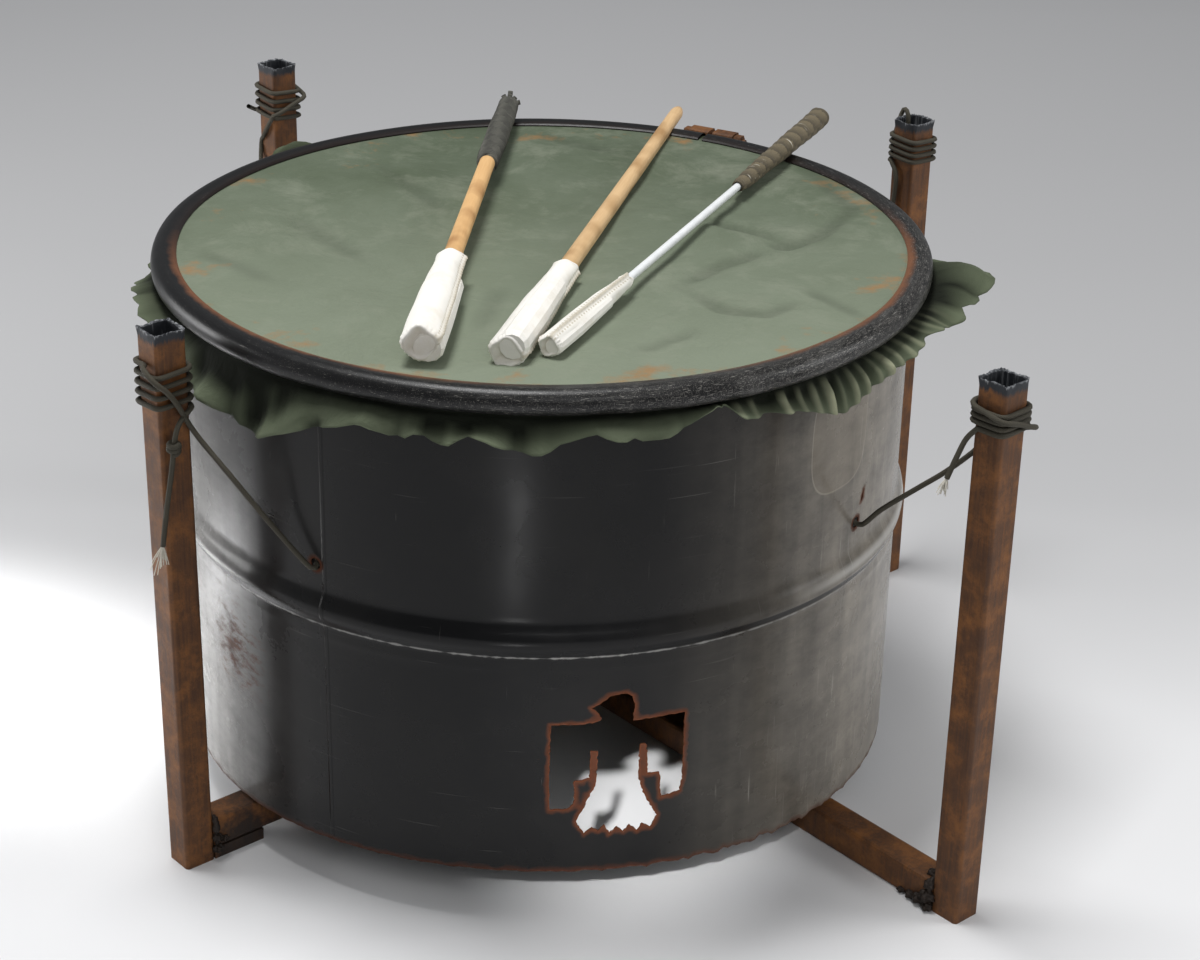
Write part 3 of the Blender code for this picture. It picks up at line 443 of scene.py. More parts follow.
# Rusted mild steel: brown rust in 2 mm streaks along the tube, with orange and dark damp blotches of
# 10 to 20 mm and 1.5 mm pits. It is blued and slagged where it was cut, and scaled black by the welds.
rust_material, add, shader = new_material("rusted_mild_steel")
place = add("TexCoord").outputs["Object"]
streak_space = add("Mapping", place, Scale=(1.0, 1.0, 0.05))
streaks = add("TexNoise", streak_space, 420.0, 6.0, 0.6)
blotches = add("TexNoise", place, 46.0, 9.0, 0.7)
speckle = add("TexNoise", place, 700.0, 3.0)
streak_share = add("MapRange", streaks, 0.36, 0.66)
brown = add("Mix", streak_share, "#4d301a", "#684222")
blotch_share = add("MapRange", blotches, 0.47, 0.66, 0.0, 0.85)
orange = add("Mix", blotch_share, brown, "#865527")
damp_share = add("MapRange", blotches, 0.32, 0.46, 0.4, 0.0)
damp = add("Mix", damp_share, orange, "#33221a")
fine = add("MapRange", speckle, 0.58, 0.8, 0.0, 0.3)
pitted = add("Mix", fine, damp, "#2b1b14")
burn = add("Attribute", attribute_name="burn").outputs["Fac"]
burn_edge = add("Math", streaks, 0.7, burn, operation="MULTIPLY_ADD")
blued_share = add("MapRange", burn_edge, 0.8, 1.02)
blued = add("Mix", blued_share, pitted, "#26292e")
slag_share = add("MapRange", burn_edge, 1.28, 1.42)
slagged = add("Mix", slag_share, blued, "#8b8d90")
HEATED = (                  # a weld's heat: its centre's share of the way to the post, how much smaller it is
    ("front_left", 0.90, 0.0), ("front_right", 0.955, 0.042),
    ("back_right", 0.95, 0.030), ("back_left", 0.95, 0.030),
)
heated = None
for corner, inward, spared in HEATED:
    foot = add("VectorMath", place, (*(post_axis(corner) * inward).tolist(), 0.002), operation="DISTANCE")
    away = add("Math", foot, spared, operation="ADD")
    heated = away if heated is None else add("Math", heated, away, operation="MINIMUM")
heat_edge = add("Math", blotches, 0.07, heated, operation="MULTIPLY_ADD")
heat_share = add("MapRange", heat_edge, 0.06, 0.078, 0.85, 0.0)
scaled = add("Mix", heat_share, slagged, "#1f1c1b")
rough = add("MapRange", streaks, 0.0, 1.0, 0.5, 0.8)
pit_bump = add("Bump", 0.35, 0.0006, Height=speckle)
plug(shader, {"Base Color": scaled, "Roughness": rough, "Metallic": 0.15, "Normal": pit_bump})


def square_ring(half, corner, points):
    """A square with rounded corners as evenly read points: each corner is an arc about its centre."""
    turn = np.linspace(0.0, 2 * np.pi, points, endpoint=False)
    flat = half - corner
    quarter = np.floor(turn / (np.pi / 2))
    inside = turn - quarter * np.pi / 2
    arc_share = 0.42
    along = np.clip((inside / (np.pi / 2) - (1 - arc_share) / 2) / arc_share, 0.0, 1.0)
    side = inside / (np.pi / 2)
    lead = np.clip(side / ((1 - arc_share) / 2), 0.0, 1.0)
    lag = np.clip((side - (1 + arc_share) / 2) / ((1 - arc_share) / 2), 0.0, 1.0)
    bend = along * np.pi / 2
    x = flat - lag * flat + corner * np.cos(bend)
    y = lead * flat + corner * np.sin(bend)
    c, s = np.cos(quarter * np.pi / 2), np.sin(quarter * np.pi / 2)
    return np.stack([x * c - y * s, x * s + y * c], axis=-1)


def mark(mesh, name, values):
    """Writes one number for each point of a mesh, which its material reads by that name."""
    values = np.asarray(values, dtype=np.float32).ravel()
    mesh.attributes.new(name, "FLOAT", "POINT").data.foreach_set("value", values)


POST_CORNER = 0.003
POST_WALL = 0.002
POST_POINTS = 96
BURN_DEPTH = 0.016          # how far the torch's heat reaches down from the cut
CUT_WAVES = (3, 5, 8, 13, 21)
CUT_LEVELS = [0.965, 0.975, 0.985, 0.992, 0.997, 1.0]
for number, corner in enumerate(POSTS):
    outside = square_ring(TUBE / 2, POST_CORNER, POST_POINTS)
    inside = square_ring(TUBE / 2 - POST_WALL, POST_CORNER - POST_WALL, POST_POINTS)
    facing = math.radians(FACING[corner])
    spin = np.array([[math.cos(facing), math.sin(facing)], [-math.sin(facing), math.cos(facing)]])
    step = np.arange(POST_POINTS) * 2 * np.pi / POST_POINTS
    ragged = sum(np.sin(k * step + 1.7 * k * (number + 1)) / k for k in CUT_WAVES) * 0.0011
    chips = np.clip(chance.normal(0.0, 1.0, POST_POINTS), -1.5, 1.0) * 0.0004
    top = POST_TOPS[corner] + ragged + chips
    rows = []
    burns = []
    for level in (0.0, *np.linspace(0.02, 0.95, 10), *CUT_LEVELS):
        blob = 1.0 + (0.030 + 0.05 * np.sin(7 * step + number)) * max(0.0, (level - 0.985) / 0.015)
        rows.append(np.column_stack([outside @ spin * blob[:, None], top * level]))
        burns.append(np.clip(1.0 - (top - top * level) / BURN_DEPTH, 0.0, 1.0))
    for level in (0.9985, 0.985, 0.9, 0.5, 0.0):
        rows.append(np.column_stack([inside @ spin, top * level]))
        burns.append(np.full(POST_POINTS, 0.9 if level > 0.8 else 0.3))
    grid = np.stack(rows, axis=1)
    grid[:, :, :2] += post_axis(corner)
    post = surface("post_tube_" + corner, grid, close_u=True, close_v=True)
    mark(post.data, "burn", np.stack(burns, axis=1))
    post.data.set_sharp_from_angle(angle=math.radians(50))
    post.data.materials.append(rust_material)
    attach(post, "stand")
    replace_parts(post, "post_" + corner)

recoat(["base_tube_lower", "base_tube_raised", "spacer_front_left", "spacer_back_right"], rust_material)


# Welds: rough stick-weld beads, left with their black slag and spatter, at each post's foot and where
# the base tubes cross. Each is a lumpy rope of metal laid along the joint.

# Slag-covered weld: dull black glassy slag over brown steel, in lumps of about 4 mm.
weld_material, add, shader = new_material("slag_covered_weld")
place = add("TexCoord").outputs["Object"]
ripple = add("TexNoise", place, 260.0, 5.0)
slag = add("Mix", ripple, "#141211", "#3a2c22")
weld_bump = add("Bump", 0.8, 0.0012, Height=ripple)
plug(shader, {"Base Color": slag, "Roughness": 0.62, "Metallic": 0.3, "Normal": weld_bump})


def weld_bead(name, path, radius):
    """A lumpy bead: a tube along the joint whose radius swells and shrinks like laid-down drops."""
    route = smooth_route(path, 0.0012)
    step = np.arange(len(route))
    swell = radius * (0.85 + 0.22 * np.sin(step * 0.9) + 0.16 * np.sin(step * 0.37 + radius * 4000))
    swell[0] = swell[-1] = radius * 0.05
    bead, _ = tube(name, route + chance.normal(0.0, 0.0003, route.shape), swell, 12)
    bead.data.materials.append(weld_material)
    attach(bead, "stand")
    return bead


def from_post(corner, forward, across, up):
    """A place by its reach out past a post's axis along the base tube, to its left and above the floor."""
    facing = math.radians(FACING[corner])
    x, y = post_axis(corner)
    c, s = math.cos(facing), math.sin(facing)
    return np.array([x + c * forward - s * across, y + s * forward + c * across, up])


SPACER = 0.0098             # the raised base tube's height over the floor
WELD_RADIUS = 0.0028
WELD_FORWARD = -TUBE / 2 - 0.0018       # on the post's inner face, and beside the base tube's sides
WELD_SIDE = TUBE / 2 + 0.0006
WELD_LINE = (               # a bead's route over the base tube: its side, in shares, and its height
    (-1.0, 0.003), (-1.0, 0.5 * TUBE), (-0.94, 0.98 * TUBE), (0.0, TUBE + 0.0008),
    (0.94, 0.98 * TUBE), (1.0, 0.5 * TUBE), (1.0, 0.003),
)
for corner in POSTS:
    base = SPACER if corner in ("front_left", "back_right") else 0.0
    loop = [from_post(corner, WELD_FORWARD, WELD_SIDE * side, base + up) for side, up in WELD_LINE]
    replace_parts(weld_bead("weld_bead_" + corner, loop, WELD_RADIUS), "weld_post_" + corner)
LUMPS = {                   # along the tube towards the post, across it to the left, up, radius
    "front_right": (
        (-0.016, -0.0135, 0.012, 0.0062), (-0.024, -0.0140, 0.006, 0.0050), (-0.033, -0.0132, 0.004, 0.0040),
        (-0.015, -0.0120, 0.022, 0.0050), (-0.020, -0.0040, 0.0262, 0.0042), (-0.016, 0.0060, 0.0262, 0.0036),
        (-0.043, -0.0130, 0.003, 0.0030), (-0.014, -0.0150, 0.004, 0.0045),
    ),
    "front_left": (
        (-0.015, 0.0135, 0.020, 0.0040), (-0.015, 0.0140, 0.010, 0.0044), (-0.022, 0.0135, 0.016, 0.0032),
    ),
    "back_right": ((-0.016, 0.0060, 0.0360, 0.0034),),
    "back_left": ((-0.016, -0.0050, 0.0262, 0.0036),),
}
latitude, longitude = np.meshgrid(np.linspace(-1.57, 1.57, 16), np.arange(25) * 2 * np.pi / 24, indexing="ij")
level = np.cos(latitude)
ball = np.stack([level * np.cos(longitude), level * np.sin(longitude), np.sin(latitude)], axis=-1)
for corner, lumps in LUMPS.items():
    blobs = []
    for number, (forward, across, up, size) in enumerate(lumps):
        bumpy = 1.0 + 0.20 * np.sin(5 * longitude + number) * level
        bumpy += 0.16 * np.sin(7 * latitude + 3 * longitude)
        blob = ball * (size * bumpy)[..., None] * (1.0, 1.0, 0.75) + from_post(corner, forward, across, up)
        blob[..., 2] = np.maximum(blob[..., 2], 0.0004)
        blobs.append(surface("slag_%s_%d" % (corner, number), blob, flip=True))
        blobs[-1].data.materials.append(weld_material)
    slag = together("slag_" + corner, blobs)
    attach(slag, "stand")
facing = math.radians(FACING["back_right"])
along = np.array([math.cos(facing), math.sin(facing), 0.0])
side = np.array([math.sin(facing), -math.cos(facing), 0.0]) * (TUBE / 2 + 0.0015)
crossing = [along * reach + side + (0, 0, TUBE + 0.0015) for reach in (-0.0105, 0.0, 0.0105)]
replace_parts(weld_bead("weld_bead_crossing", crossing, 0.0030), "weld_crossing")


# Shell: the upper half of a steel drum, a 1.2 mm sheet rolled and seam-welded, with a rolled rim and a
# rolling hoop, in worn black enamel. The figure, the cord holes and the lower edge are torch-cut.
HOOP_Z = RIM_Z - 0.1915
HOOP_HALF = 0.0155
HOOP_BULGE = 0.0058
SHELL_WALL = 0.0012
SHELL_FOOT = shell_low[2]
EDGE_RISE = 0.0097
FIGURE_AZIMUTH = -76.8
FIGURE_Z = RIM_Z - 0.2600
FIGURE = [
    (-50, 0), (-28, 0), (-16, -1.5), (-12.5, -4.5), (-16, -9), (-20.5, -13), (-13, -17), (-7.5, -21.5),
    (-1, -23.8), (5.5, -23.4), (9.5, -20), (11.8, -14), (11, -5), (10.5, 0), (51, 0), (51, 28), (51, 57),
    (49.5, 68), (33.5, 70), (32.5, 48), (23, 47.5), (21.5, 22), (16.5, 21.5), (16, 48), (17.3, 56), (22, 69),
    (31.5, 85.5), (26, 95), (20, 90.5), (15.7, 96.3), (10, 90), (5.2, 95.5), (0, 90.8), (-5.3, 96),
    (-9.4, 87.5), (-14, 93), (-18.7, 90), (-24.5, 94.8), (-31.3, 83.5), (-24.8, 71), (-16, 51),
    (-15.7, 23.2), (-21, 23), (-21, 46.5), (-32.8, 48.5), (-32.6, 68), (-37, 72), (-50.6, 73),
    (-51, 45), (-50.5, 20),
]


def unrolled(azimuth, z, outline):
    """An outline of (across, down) millimetres on the wall laid flat: arc length and height in metres."""
    outline = np.array(outline, dtype=float) * 0.001
    return np.column_stack([math.radians(azimuth) * SHELL_RADIUS + outline[:, 0], z - outline[:, 1]])


def refined(outline, spacing, roughness):
    """An outline read at even steps along its sides, each point shaken a little as a torch shakes."""
    ends = np.roll(outline, -1, axis=0)
    points = []
    for a, b in zip(outline, ends):
        steps = max(1, round(float(np.linalg.norm(b - a)) / spacing))
        points.append(a + (b - a) * (np.arange(steps) / steps)[:, None])
    points = np.vstack(points)
    return points + chance.normal(0.0, roughness, points.shape)


def inside_outline(points, outline):
    """Which points lie inside a closed outline, by counting the sides that a level ray crosses."""
    x, y = points[:, :1], points[:, 1:]
    ax, ay = outline[:, 0], outline[:, 1]
    bx, by = np.roll(ax, -1), np.roll(ay, -1)
    spans = (ay > y) != (by > y)
    rise = np.where(by == ay, 1e-12, by - ay)
    hits = spans & (x < (bx - ax) * (y - ay) / rise + ax)
    return hits.sum(axis=1) % 2 == 1


def by_outline(points, outline):
    """The numbers of the points that may lie near an outline."""
    return np.flatnonzero(np.linalg.norm(points - outline.mean(axis=0), axis=1) < OUTLINE_REACH)


def distance_to(points, outline):
    """Each point's distance to the nearest side of an outline."""
    a = outline[None]
    b = np.roll(outline, -1, axis=0)[None]
    side = b - a
    share = ((points[:, None] - a) * side).sum(-1) / (side * side).sum(-1)
    nearest = a + side * np.clip(share, 0.0, 1.0)[..., None]
    return np.linalg.norm(points[:, None] - nearest, axis=-1).min(axis=1)


HOLE_MM = 4.5
TEAR = [(-2.1, 4.7), (-1.5, 1.0), (-0.6, -1.0), (2.1, -4.7), (1.6, -0.5), (1.0, 1.9)]
TEAR_AZIMUTH = -31.3
TEAR_Z = RIM_Z - 0.1366
WALL_COLUMNS = 420
WALL_ROWS = 96
OUTLINE_REACH = 0.11        # no point of an outline is farther from its middle
CUT_CLEAR = 0.0032          # the wall's own points stay this far off a cut, and a collar follows it
COLLAR = 0.0016
turn = np.linspace(0.0, 2 * np.pi, 14, endpoint=False)
round_hole = np.column_stack([np.cos(turn), np.sin(turn)]) * HOLE_MM
outlines = [refined(unrolled(FIGURE_AZIMUTH, FIGURE_Z, FIGURE), 0.0020, 0.00030)]
outlines += [unrolled(azimuth, HOLE_Z, round_hole) for azimuth in HOLES.values()]
outlines.append(unrolled(TEAR_AZIMUTH, TEAR_Z, TEAR))
half_way = math.pi * SHELL_RADIUS
flat_u = np.linspace(-half_way, half_way, WALL_COLUMNS + 1)
flat_z = np.linspace(SHELL_FOOT, RIM_Z - BEAD, WALL_ROWS)
flat_z[np.argmin(abs(flat_z - HOOP_Z))] = HOOP_Z
flat = np.stack(np.meshgrid(flat_u, flat_z, indexing="ij"), axis=-1).reshape(-1, 2)
keep = np.ones(len(flat), dtype=bool)
extra = []
for outline in outlines:
    near = by_outline(flat, outline)
    gone = inside_outline(flat[near], outline) | (distance_to(flat[near], outline) < CUT_CLEAR)
    keep[near[gone]] = False
    sides = np.roll(outline, -1, axis=0) - np.roll(outline, 1, axis=0)
    outward = np.column_stack([sides[:, 1], -sides[:, 0]])
    outward /= np.linalg.norm(outward, axis=1)[:, None]
    for offset in (COLLAR, -COLLAR):
        moved = outline + outward * offset
        clear = (distance_to(moved, outline) > 0.75 * COLLAR) & ~inside_outline(moved, outline)
        extra.append(moved[clear])
flat_points = np.vstack([*outlines, *extra, flat[keep]])
sides = []
begin = 0
for outline in outlines:
    ring = np.arange(len(outline)) + begin
    sides.append(np.column_stack([ring, np.roll(ring, -1)]))
    begin += len(outline)
laid, _, triangles, _, _, _ = delaunay_2d_cdt(
    [Vector(p) for p in flat_points], np.vstack(sides).tolist(), [], 0, 1e-7)
laid = np.array([tuple(p) for p in laid])
triangles = np.array([t for t in triangles if len(t) == 3])
middles = laid[triangles].mean(axis=1)
cut_away = np.zeros(len(middles), dtype=bool)
for outline in outlines:
    near = by_outline(middles, outline)
    cut_away[near] |= inside_outline(middles[near], outline)
triangles = triangles[~cut_away]
azimuth = np.degrees(laid[:, 0] / SHELL_RADIUS)
height = laid[:, 1].copy()
hoop = np.clip((height - HOOP_Z) / HOOP_HALF, -1.0, 1.0)
bulge = HOOP_BULGE * (0.5 + 0.5 * np.cos(np.pi * hoop)) ** 0.8
bulge += 0.0009 * np.exp(-((height - HOOP_Z + 0.0205) / 0.003) ** 2)
DENTS = (                   # azimuth, half width, height, half height, depth
    (-98, 7, 0.33, 0.03, -0.0007), (-60, 9, 0.12, 0.04, -0.0008), (-40, 8, 0.34, 0.04, -0.0010),
    (-140, 9, 0.15, 0.04, -0.0010), (20, 9, 0.2, 0.05, -0.001), (110, 10, 0.3, 0.05, -0.001),
)
dents = sum(depth * np.exp(-((azimuth - at) / width) ** 2 - ((height - z) / tall) ** 2)
            for at, width, z, tall, depth in DENTS)
torch = np.radians(azimuth)
frontal = np.clip(np.cos(np.radians(azimuth + 92.0)), 0.0, None)
front_right = np.clip(1.0 - np.abs(azimuth + 52.0) / 38.0, 0.0, 1.0)
jagged = np.sin(61 * torch) + 0.8 * np.sin(97 * torch + 1)
jagged += 0.6 * np.sin(158 * torch + 2) + 0.5 * np.sin(211 * torch)
edge_z = SHELL_FOOT + EDGE_RISE * frontal ** 3 + jagged * (0.00025 + 0.0009 * front_right)
blend_up = np.clip(1.0 - (height - SHELL_FOOT) / 0.030, 0.0, 1.0)
height += (edge_z - SHELL_FOOT) * blend_up ** 1.5
mesh = bpy.data.meshes.new("drum_wall")
mesh.from_pydata(polar(SHELL_RADIUS + bulge + dents, azimuth, height), [], triangles)
distance = np.full(len(laid), 1.0)
for outline in outlines:
    near = by_outline(laid, outline)
    distance[near] = np.minimum(distance[near], distance_to(laid[near], outline))
mark(mesh, "cut_distance", distance)
mark(mesh, "edge_distance", np.maximum(height - edge_z, 0.0))
mesh.shade_smooth()
wall = bpy.data.objects.new("drum_wall", mesh)
bpy.context.scene.collection.objects.link(wall)


def settle(piece, angle):
    """Puts a piece's modifiers into its mesh, then marks the edges sharper than an angle as hard."""
    finished = bpy.data.meshes.new_from_object(piece.evaluated_get(bpy.context.evaluated_depsgraph_get()))
    piece.modifiers.clear()
    piece.data = finished
    finished.set_sharp_from_angle(angle=math.radians(angle))


wall.modifiers.new("seam", "WELD").merge_threshold = 0.00005
skin = wall.modifiers.new("sheet", "SOLIDIFY")
skin.thickness = SHELL_WALL
skin.offset = -1.0
settle(wall, 40)

# Worn black enamel: dark grey-black gloss paint over steel, with pale scuffs where things rubbed, chipped on
# the hoop's crown and rusted orange at every cut edge. Scratches are 0.3 to 1 mm wide. The pale rubs on the
# left and right are partly painted reflection of the light, a dark band under the hoop is painted shade, and
# a pale band along the hoop's crown at the right front is a painted highlight.
enamel, add, shader = new_material("worn_black_enamel")
place = add("TexCoord").outputs["Object"]
centred = add("Mapping", place, Location=(-CENTRE[0], -CENTRE[1], 0.0))
axes = add("SeparateXYZ", centred)
forward = add("Math", axes.outputs["Y"], -1.0, operation="MULTIPLY")
from_front = add("Math", axes.outputs["X"], forward, operation="ARCTAN2")
around = add("Math", from_front, math.pi / 2, operation="SUBTRACT")
arc = add("Math", around, SHELL_RADIUS, operation="MULTIPLY")
wall_space = add("CombineXYZ", arc, axes.outputs["Z"], 0.0)
haze = add("TexNoise", centred, 9.0, 7.0, 0.62)
haze_share = add("MapRange", haze, 0.42, 0.8, 0.0, 0.75)
band_space = add("Mapping", wall_space, Scale=(55.0, 3.0, 1.0))
bands = add("TexNoise", band_space, 1.0, 4.0)
dull_space = add("Mapping", wall_space, Scale=(26.0, 40.0, 1.0))
dulled = add("TexNoise", dull_space, 1.0, 9.0, 0.75)
scuffs_and_reflections = add("Mix", haze_share, "#0d0d0e", "#1e1d1c")
for tilt, reach, seed in ((0.35, 5.0, 1.0), (1.25, 7.0, 4.0), (2.4, 6.0, 8.0)):
    lines_space = add("Mapping", wall_space, Rotation=(0, 0, tilt), Location=(seed, seed, 0),
                      Scale=(reach, 260.0, 1.0))
    lines = add("TexNoise", lines_space, 1.6, 2.0)
    where = add("MapRange", lines, 0.72, 0.8, 0.0, 0.28)
    scuffs_and_reflections = add("Mix", where, scuffs_and_reflections, "#7d7b77")
degrees = add("Math", around, 180.0 / math.pi, operation="MULTIPLY")
sidelong = add("Math", from_front, operation="ABSOLUTE")
handled = add("MapRange", sidelong, math.radians(88.0), math.radians(140.0), 1.0, 0.0,
              interpolation_type="SMOOTHSTEP")
RUBS_AND_REFLECTIONS = (                  # azimuths and heights between which a rub grows, its strength and colour; partly painted reflection
    (-74.0, -22.0, 0.0, 0.01, 1.0, "#928b80"), (-52.0, -30.0, 0.36, 0.40, 0.55, "#8f8a80"),
    (-116.0, -152.0, 0.45, 0.16, 0.75, "#565554"), (-131.0, -158.0, 0.48, 0.12, 1.0, "#bebcb8"),
)
# The rubs on the left and right are partly real scuffs and partly painted reflection of the bright floor and
# lamps.
for from_azimuth, to_azimuth, from_z, to_z, strength, tint in RUBS_AND_REFLECTIONS:
    sideways = add("MapRange", degrees, from_azimuth, to_azimuth, interpolation_type="SMOOTHSTEP")
    upwards = add("MapRange", axes.outputs["Z"], from_z, to_z, interpolation_type="SMOOTHSTEP")
    here = add("Math", sideways, upwards, operation="MULTIPLY")
    within = add("Math", here, handled, operation="MULTIPLY")
    mixed = add("Math", bands, 0.6, dulled, operation="MULTIPLY_ADD")
    clouded = add("MapRange", mixed, 0.55, 1.05, 0.35 * strength, strength)
    rubbed = add("Math", within, clouded, operation="MULTIPLY")
    scuffs_and_reflections = add("Mix", rubbed, scuffs_and_reflections, tint)
PANEL = (                   # where a label came off: its middle and half size along the wall's axes
    ("X", math.radians(-38.5) * SHELL_RADIUS, 0.035), ("Y", RIM_Z - 0.071, 0.046),
)
panel_off = []
for axis, middle, half in PANEL:
    from_middle = add("Math", add("SeparateXYZ", wall_space).outputs[axis], middle, operation="SUBTRACT")
    sized = add("Math", from_middle, half, operation="DIVIDE")
    squared = add("Math", sized, sized, operation="MULTIPLY")
    panel_off.append(add("Math", squared, 1.6, operation="POWER"))
panel_at = add("Math", panel_off[0], panel_off[1], operation="ADD")
panel_line = add("Math", panel_at, 1.0, 0.05, operation="COMPARE")
panel_in = add("Math", panel_at, 1.0, operation="LESS_THAN")
for trace, strength, tint in ((panel_in, 0.22, "#8b8171"), (panel_line, 0.30, "#a9a294")):
    share = add("Math", trace, strength, operation="MULTIPLY")
    scuffs_and_reflections = add("Mix", share, scuffs_and_reflections, tint)
for tilt, stretch, seed in ((0.15, (300.0, 9.0), 2.0), (-0.35, (240.0, 12.0), 6.0)):
    fine_space = add("Mapping", wall_space, Rotation=(0, 0, tilt), Location=(seed, seed, 0),
                     Scale=(*stretch, 1.0))
    fine_lines = add("TexNoise", fine_space, 1.5, 3.0)
    on_right = add("MapRange", degrees, -80.0, -30.0, -0.06, 0.05)
    raised = add("Math", fine_lines, on_right, operation="ADD")
    shown = add("MapRange", raised, 0.68, 0.78, 0.0, 0.35)
    seen = add("Math", shown, handled, operation="MULTIPLY")
    scuffs_and_reflections = add("Mix", seen, scuffs_and_reflections, "#a8a49c")
cut_distance = add("Attribute", attribute_name="cut_distance").outputs["Fac"]
edge_distance = add("Attribute", attribute_name="edge_distance").outputs["Fac"]
eat = add("TexNoise", wall_space, 110.0, 5.0)
shaky = add("Math", eat, 0.006, cut_distance, operation="MULTIPLY_ADD")
cut_rust = add("MapRange", shaky, 0.0038, 0.007, 0.95, 0.0)
shaky_edge = add("Math", eat, 0.008, edge_distance, operation="MULTIPLY_ADD")
edge_rust = add("MapRange", shaky_edge, 0.0035, 0.0085, 0.8, 0.0)
rusting = add("Math", cut_rust, edge_rust, operation="MAXIMUM")
low_left = add("VectorMath", wall_space, (math.radians(-143) * SHELL_RADIUS, 0.165, 0.0),
               operation="DISTANCE")
low_left_near = add("MapRange", low_left, 0.01, 0.07, 0.27, 0.0)
smear_space = add("Mapping", wall_space, Rotation=(0, 0, 0.5), Scale=(60.0, 130.0, 1.0))
spots_of_rust = add("TexNoise", smear_space, 1.0, 9.0, 0.75)
spot_level = add("Math", spots_of_rust, low_left_near, operation="ADD")
spot_share = add("MapRange", spot_level, 0.66, 0.84, 0.0, 0.75)
rusting = add("Math", rusting, spot_share, operation="MAXIMUM")
rust_tone = add("Mix", eat, "#1c0f0a", "#6b3a20")
coloured = add("Mix", rusting, scuffs_and_reflections, rust_tone)
crown_at = add("Math", axes.outputs["Z"], HOOP_Z - 0.012, operation="SUBTRACT")
crown_off = add("Math", crown_at, operation="ABSOLUTE")
chip_line = add("Math", eat, 0.0045, crown_off, operation="MULTIPLY_ADD")
chipped = add("MapRange", chip_line, 0.0022, 0.0034, 0.75, 0.0)
bare = add("Mix", chipped, coloured, "#8f8e8b")
# Painted shade: a near-black band on the hoop's lower flank, standing in for its shaded underside.
under_hoop_band = add("Math", axes.outputs["Z"], HOOP_Z - 0.007, 0.0032, operation="COMPARE")
under_hoop_shade = add("Math", under_hoop_band, 0.88, operation="MULTIPLY")
under_hoop_shaded = add("Mix", under_hoop_shade, bare, "#0b0b0c")
# Painted highlight: a pale band along the hoop's crown on the right front, where the light glints.
crown_side = add("MapRange", degrees, -52.0, -34.0, 0.0, 0.55, interpolation_type="SMOOTHSTEP")
crown_from = add("Math", axes.outputs["Z"], HOOP_Z + 0.0035, operation="SUBTRACT")
crown_away = add("Math", crown_from, operation="ABSOLUTE")
crown_near = add("MapRange", crown_away, 0.0005, 0.005, 1.0, 0.0, interpolation_type="SMOOTHSTEP")
crown_glint_side = add("Math", crown_side, handled, operation="MULTIPLY")
painted_glint = add("Math", crown_glint_side, crown_near, operation="MULTIPLY")
glinted = add("Mix", painted_glint, under_hoop_shaded, "#c3c1bc")
gloss = add("MapRange", haze, 0.3, 0.8, 0.17, 0.4)
rough_rust = add("Mix", rusting, gloss, 0.85, data_type="FLOAT")
seam_at = add("Math", arc, math.radians(-121.4) * SHELL_RADIUS, operation="SUBTRACT")
seam_off = add("Math", seam_at, operation="ABSOLUTE")
seam = add("MapRange", seam_off, 0.0006, 0.0024, 1.0, 0.0, interpolation_type="SMOOTHSTEP")
ripples = add("Math", eat, 0.12, seam, operation="MULTIPLY_ADD")
wall_bump = add("Bump", 0.6, 0.0008, Height=ripples)
plug(shader, {"Base Color": glinted, "Roughness": rough_rust, "Specular IOR Level": 0.22,
              "Normal": wall_bump})
wall.data.materials.append(enamel)
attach(wall, "drum")

# Rim: the shell's top edge rolled outwards into a bead, which the canvas is stretched over.
bead_turn = np.radians(np.linspace(-150.0, 170.0, 20))
bead_centre = SHELL_RADIUS + BEAD
rim_azimuths = np.arange(240) * 1.5
rim_grid = np.stack([
    polar(bead_centre + BEAD * math.cos(a), rim_azimuths, RIM_Z + BEAD * math.sin(a)) for a in bead_turn
], axis=1)
rim = surface("rolled_rim", rim_grid, close_u=True, close_v=True)
rim.data.materials.append(enamel)
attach(rim, "drum")
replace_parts(wall, "shell")


# Closing ring: a rolled steel channel, split behind and drawn together by a bolt through two lugs.
# Its black enamel is scratched all over and greyer towards the right front, partly from wear and partly as
# painted highlight, and its inner lip is rusty.
RING_IN = 0.0075
RING_OUT = 0.0097
RING_LIP = 0.0100
RING_SPLIT = 63.0           # azimuth between the two lugs
RING_GAP = 0.4              # half the split, in degrees
section_turn = np.radians(np.linspace(100.0, -60.0, 26))
section = [(-RING_LIP - 0.0003, 0.0072), (-RING_LIP, 0.0065), (-0.006, 0.0069), (-0.003, 0.0072)]
section += [(RING_IN * math.cos(a), RING_IN * math.sin(a)) for a in section_turn]
section += [(RING_OUT * math.cos(a), RING_OUT * math.sin(a)) for a in section_turn[::-1]]
section += [(-0.004, 0.0092), (-0.007, 0.0088), (-RING_LIP + 0.0008, 0.0084)]
ring_azimuths = np.linspace(RING_SPLIT + RING_GAP, RING_SPLIT + 360.0 - RING_GAP, 481)
wobble = 0.0003 * np.sin(np.radians(ring_azimuths * 5)) + 0.0002 * np.sin(np.radians(ring_azimuths * 11 + 40))
ring_grid = np.stack([polar(bead_centre + r + wobble, ring_azimuths, RIM_Z + h) for r, h in section], axis=1)
ring = surface("ring_channel", ring_grid, close_v=True)
ring.data.set_sharp_from_angle(angle=math.radians(60))

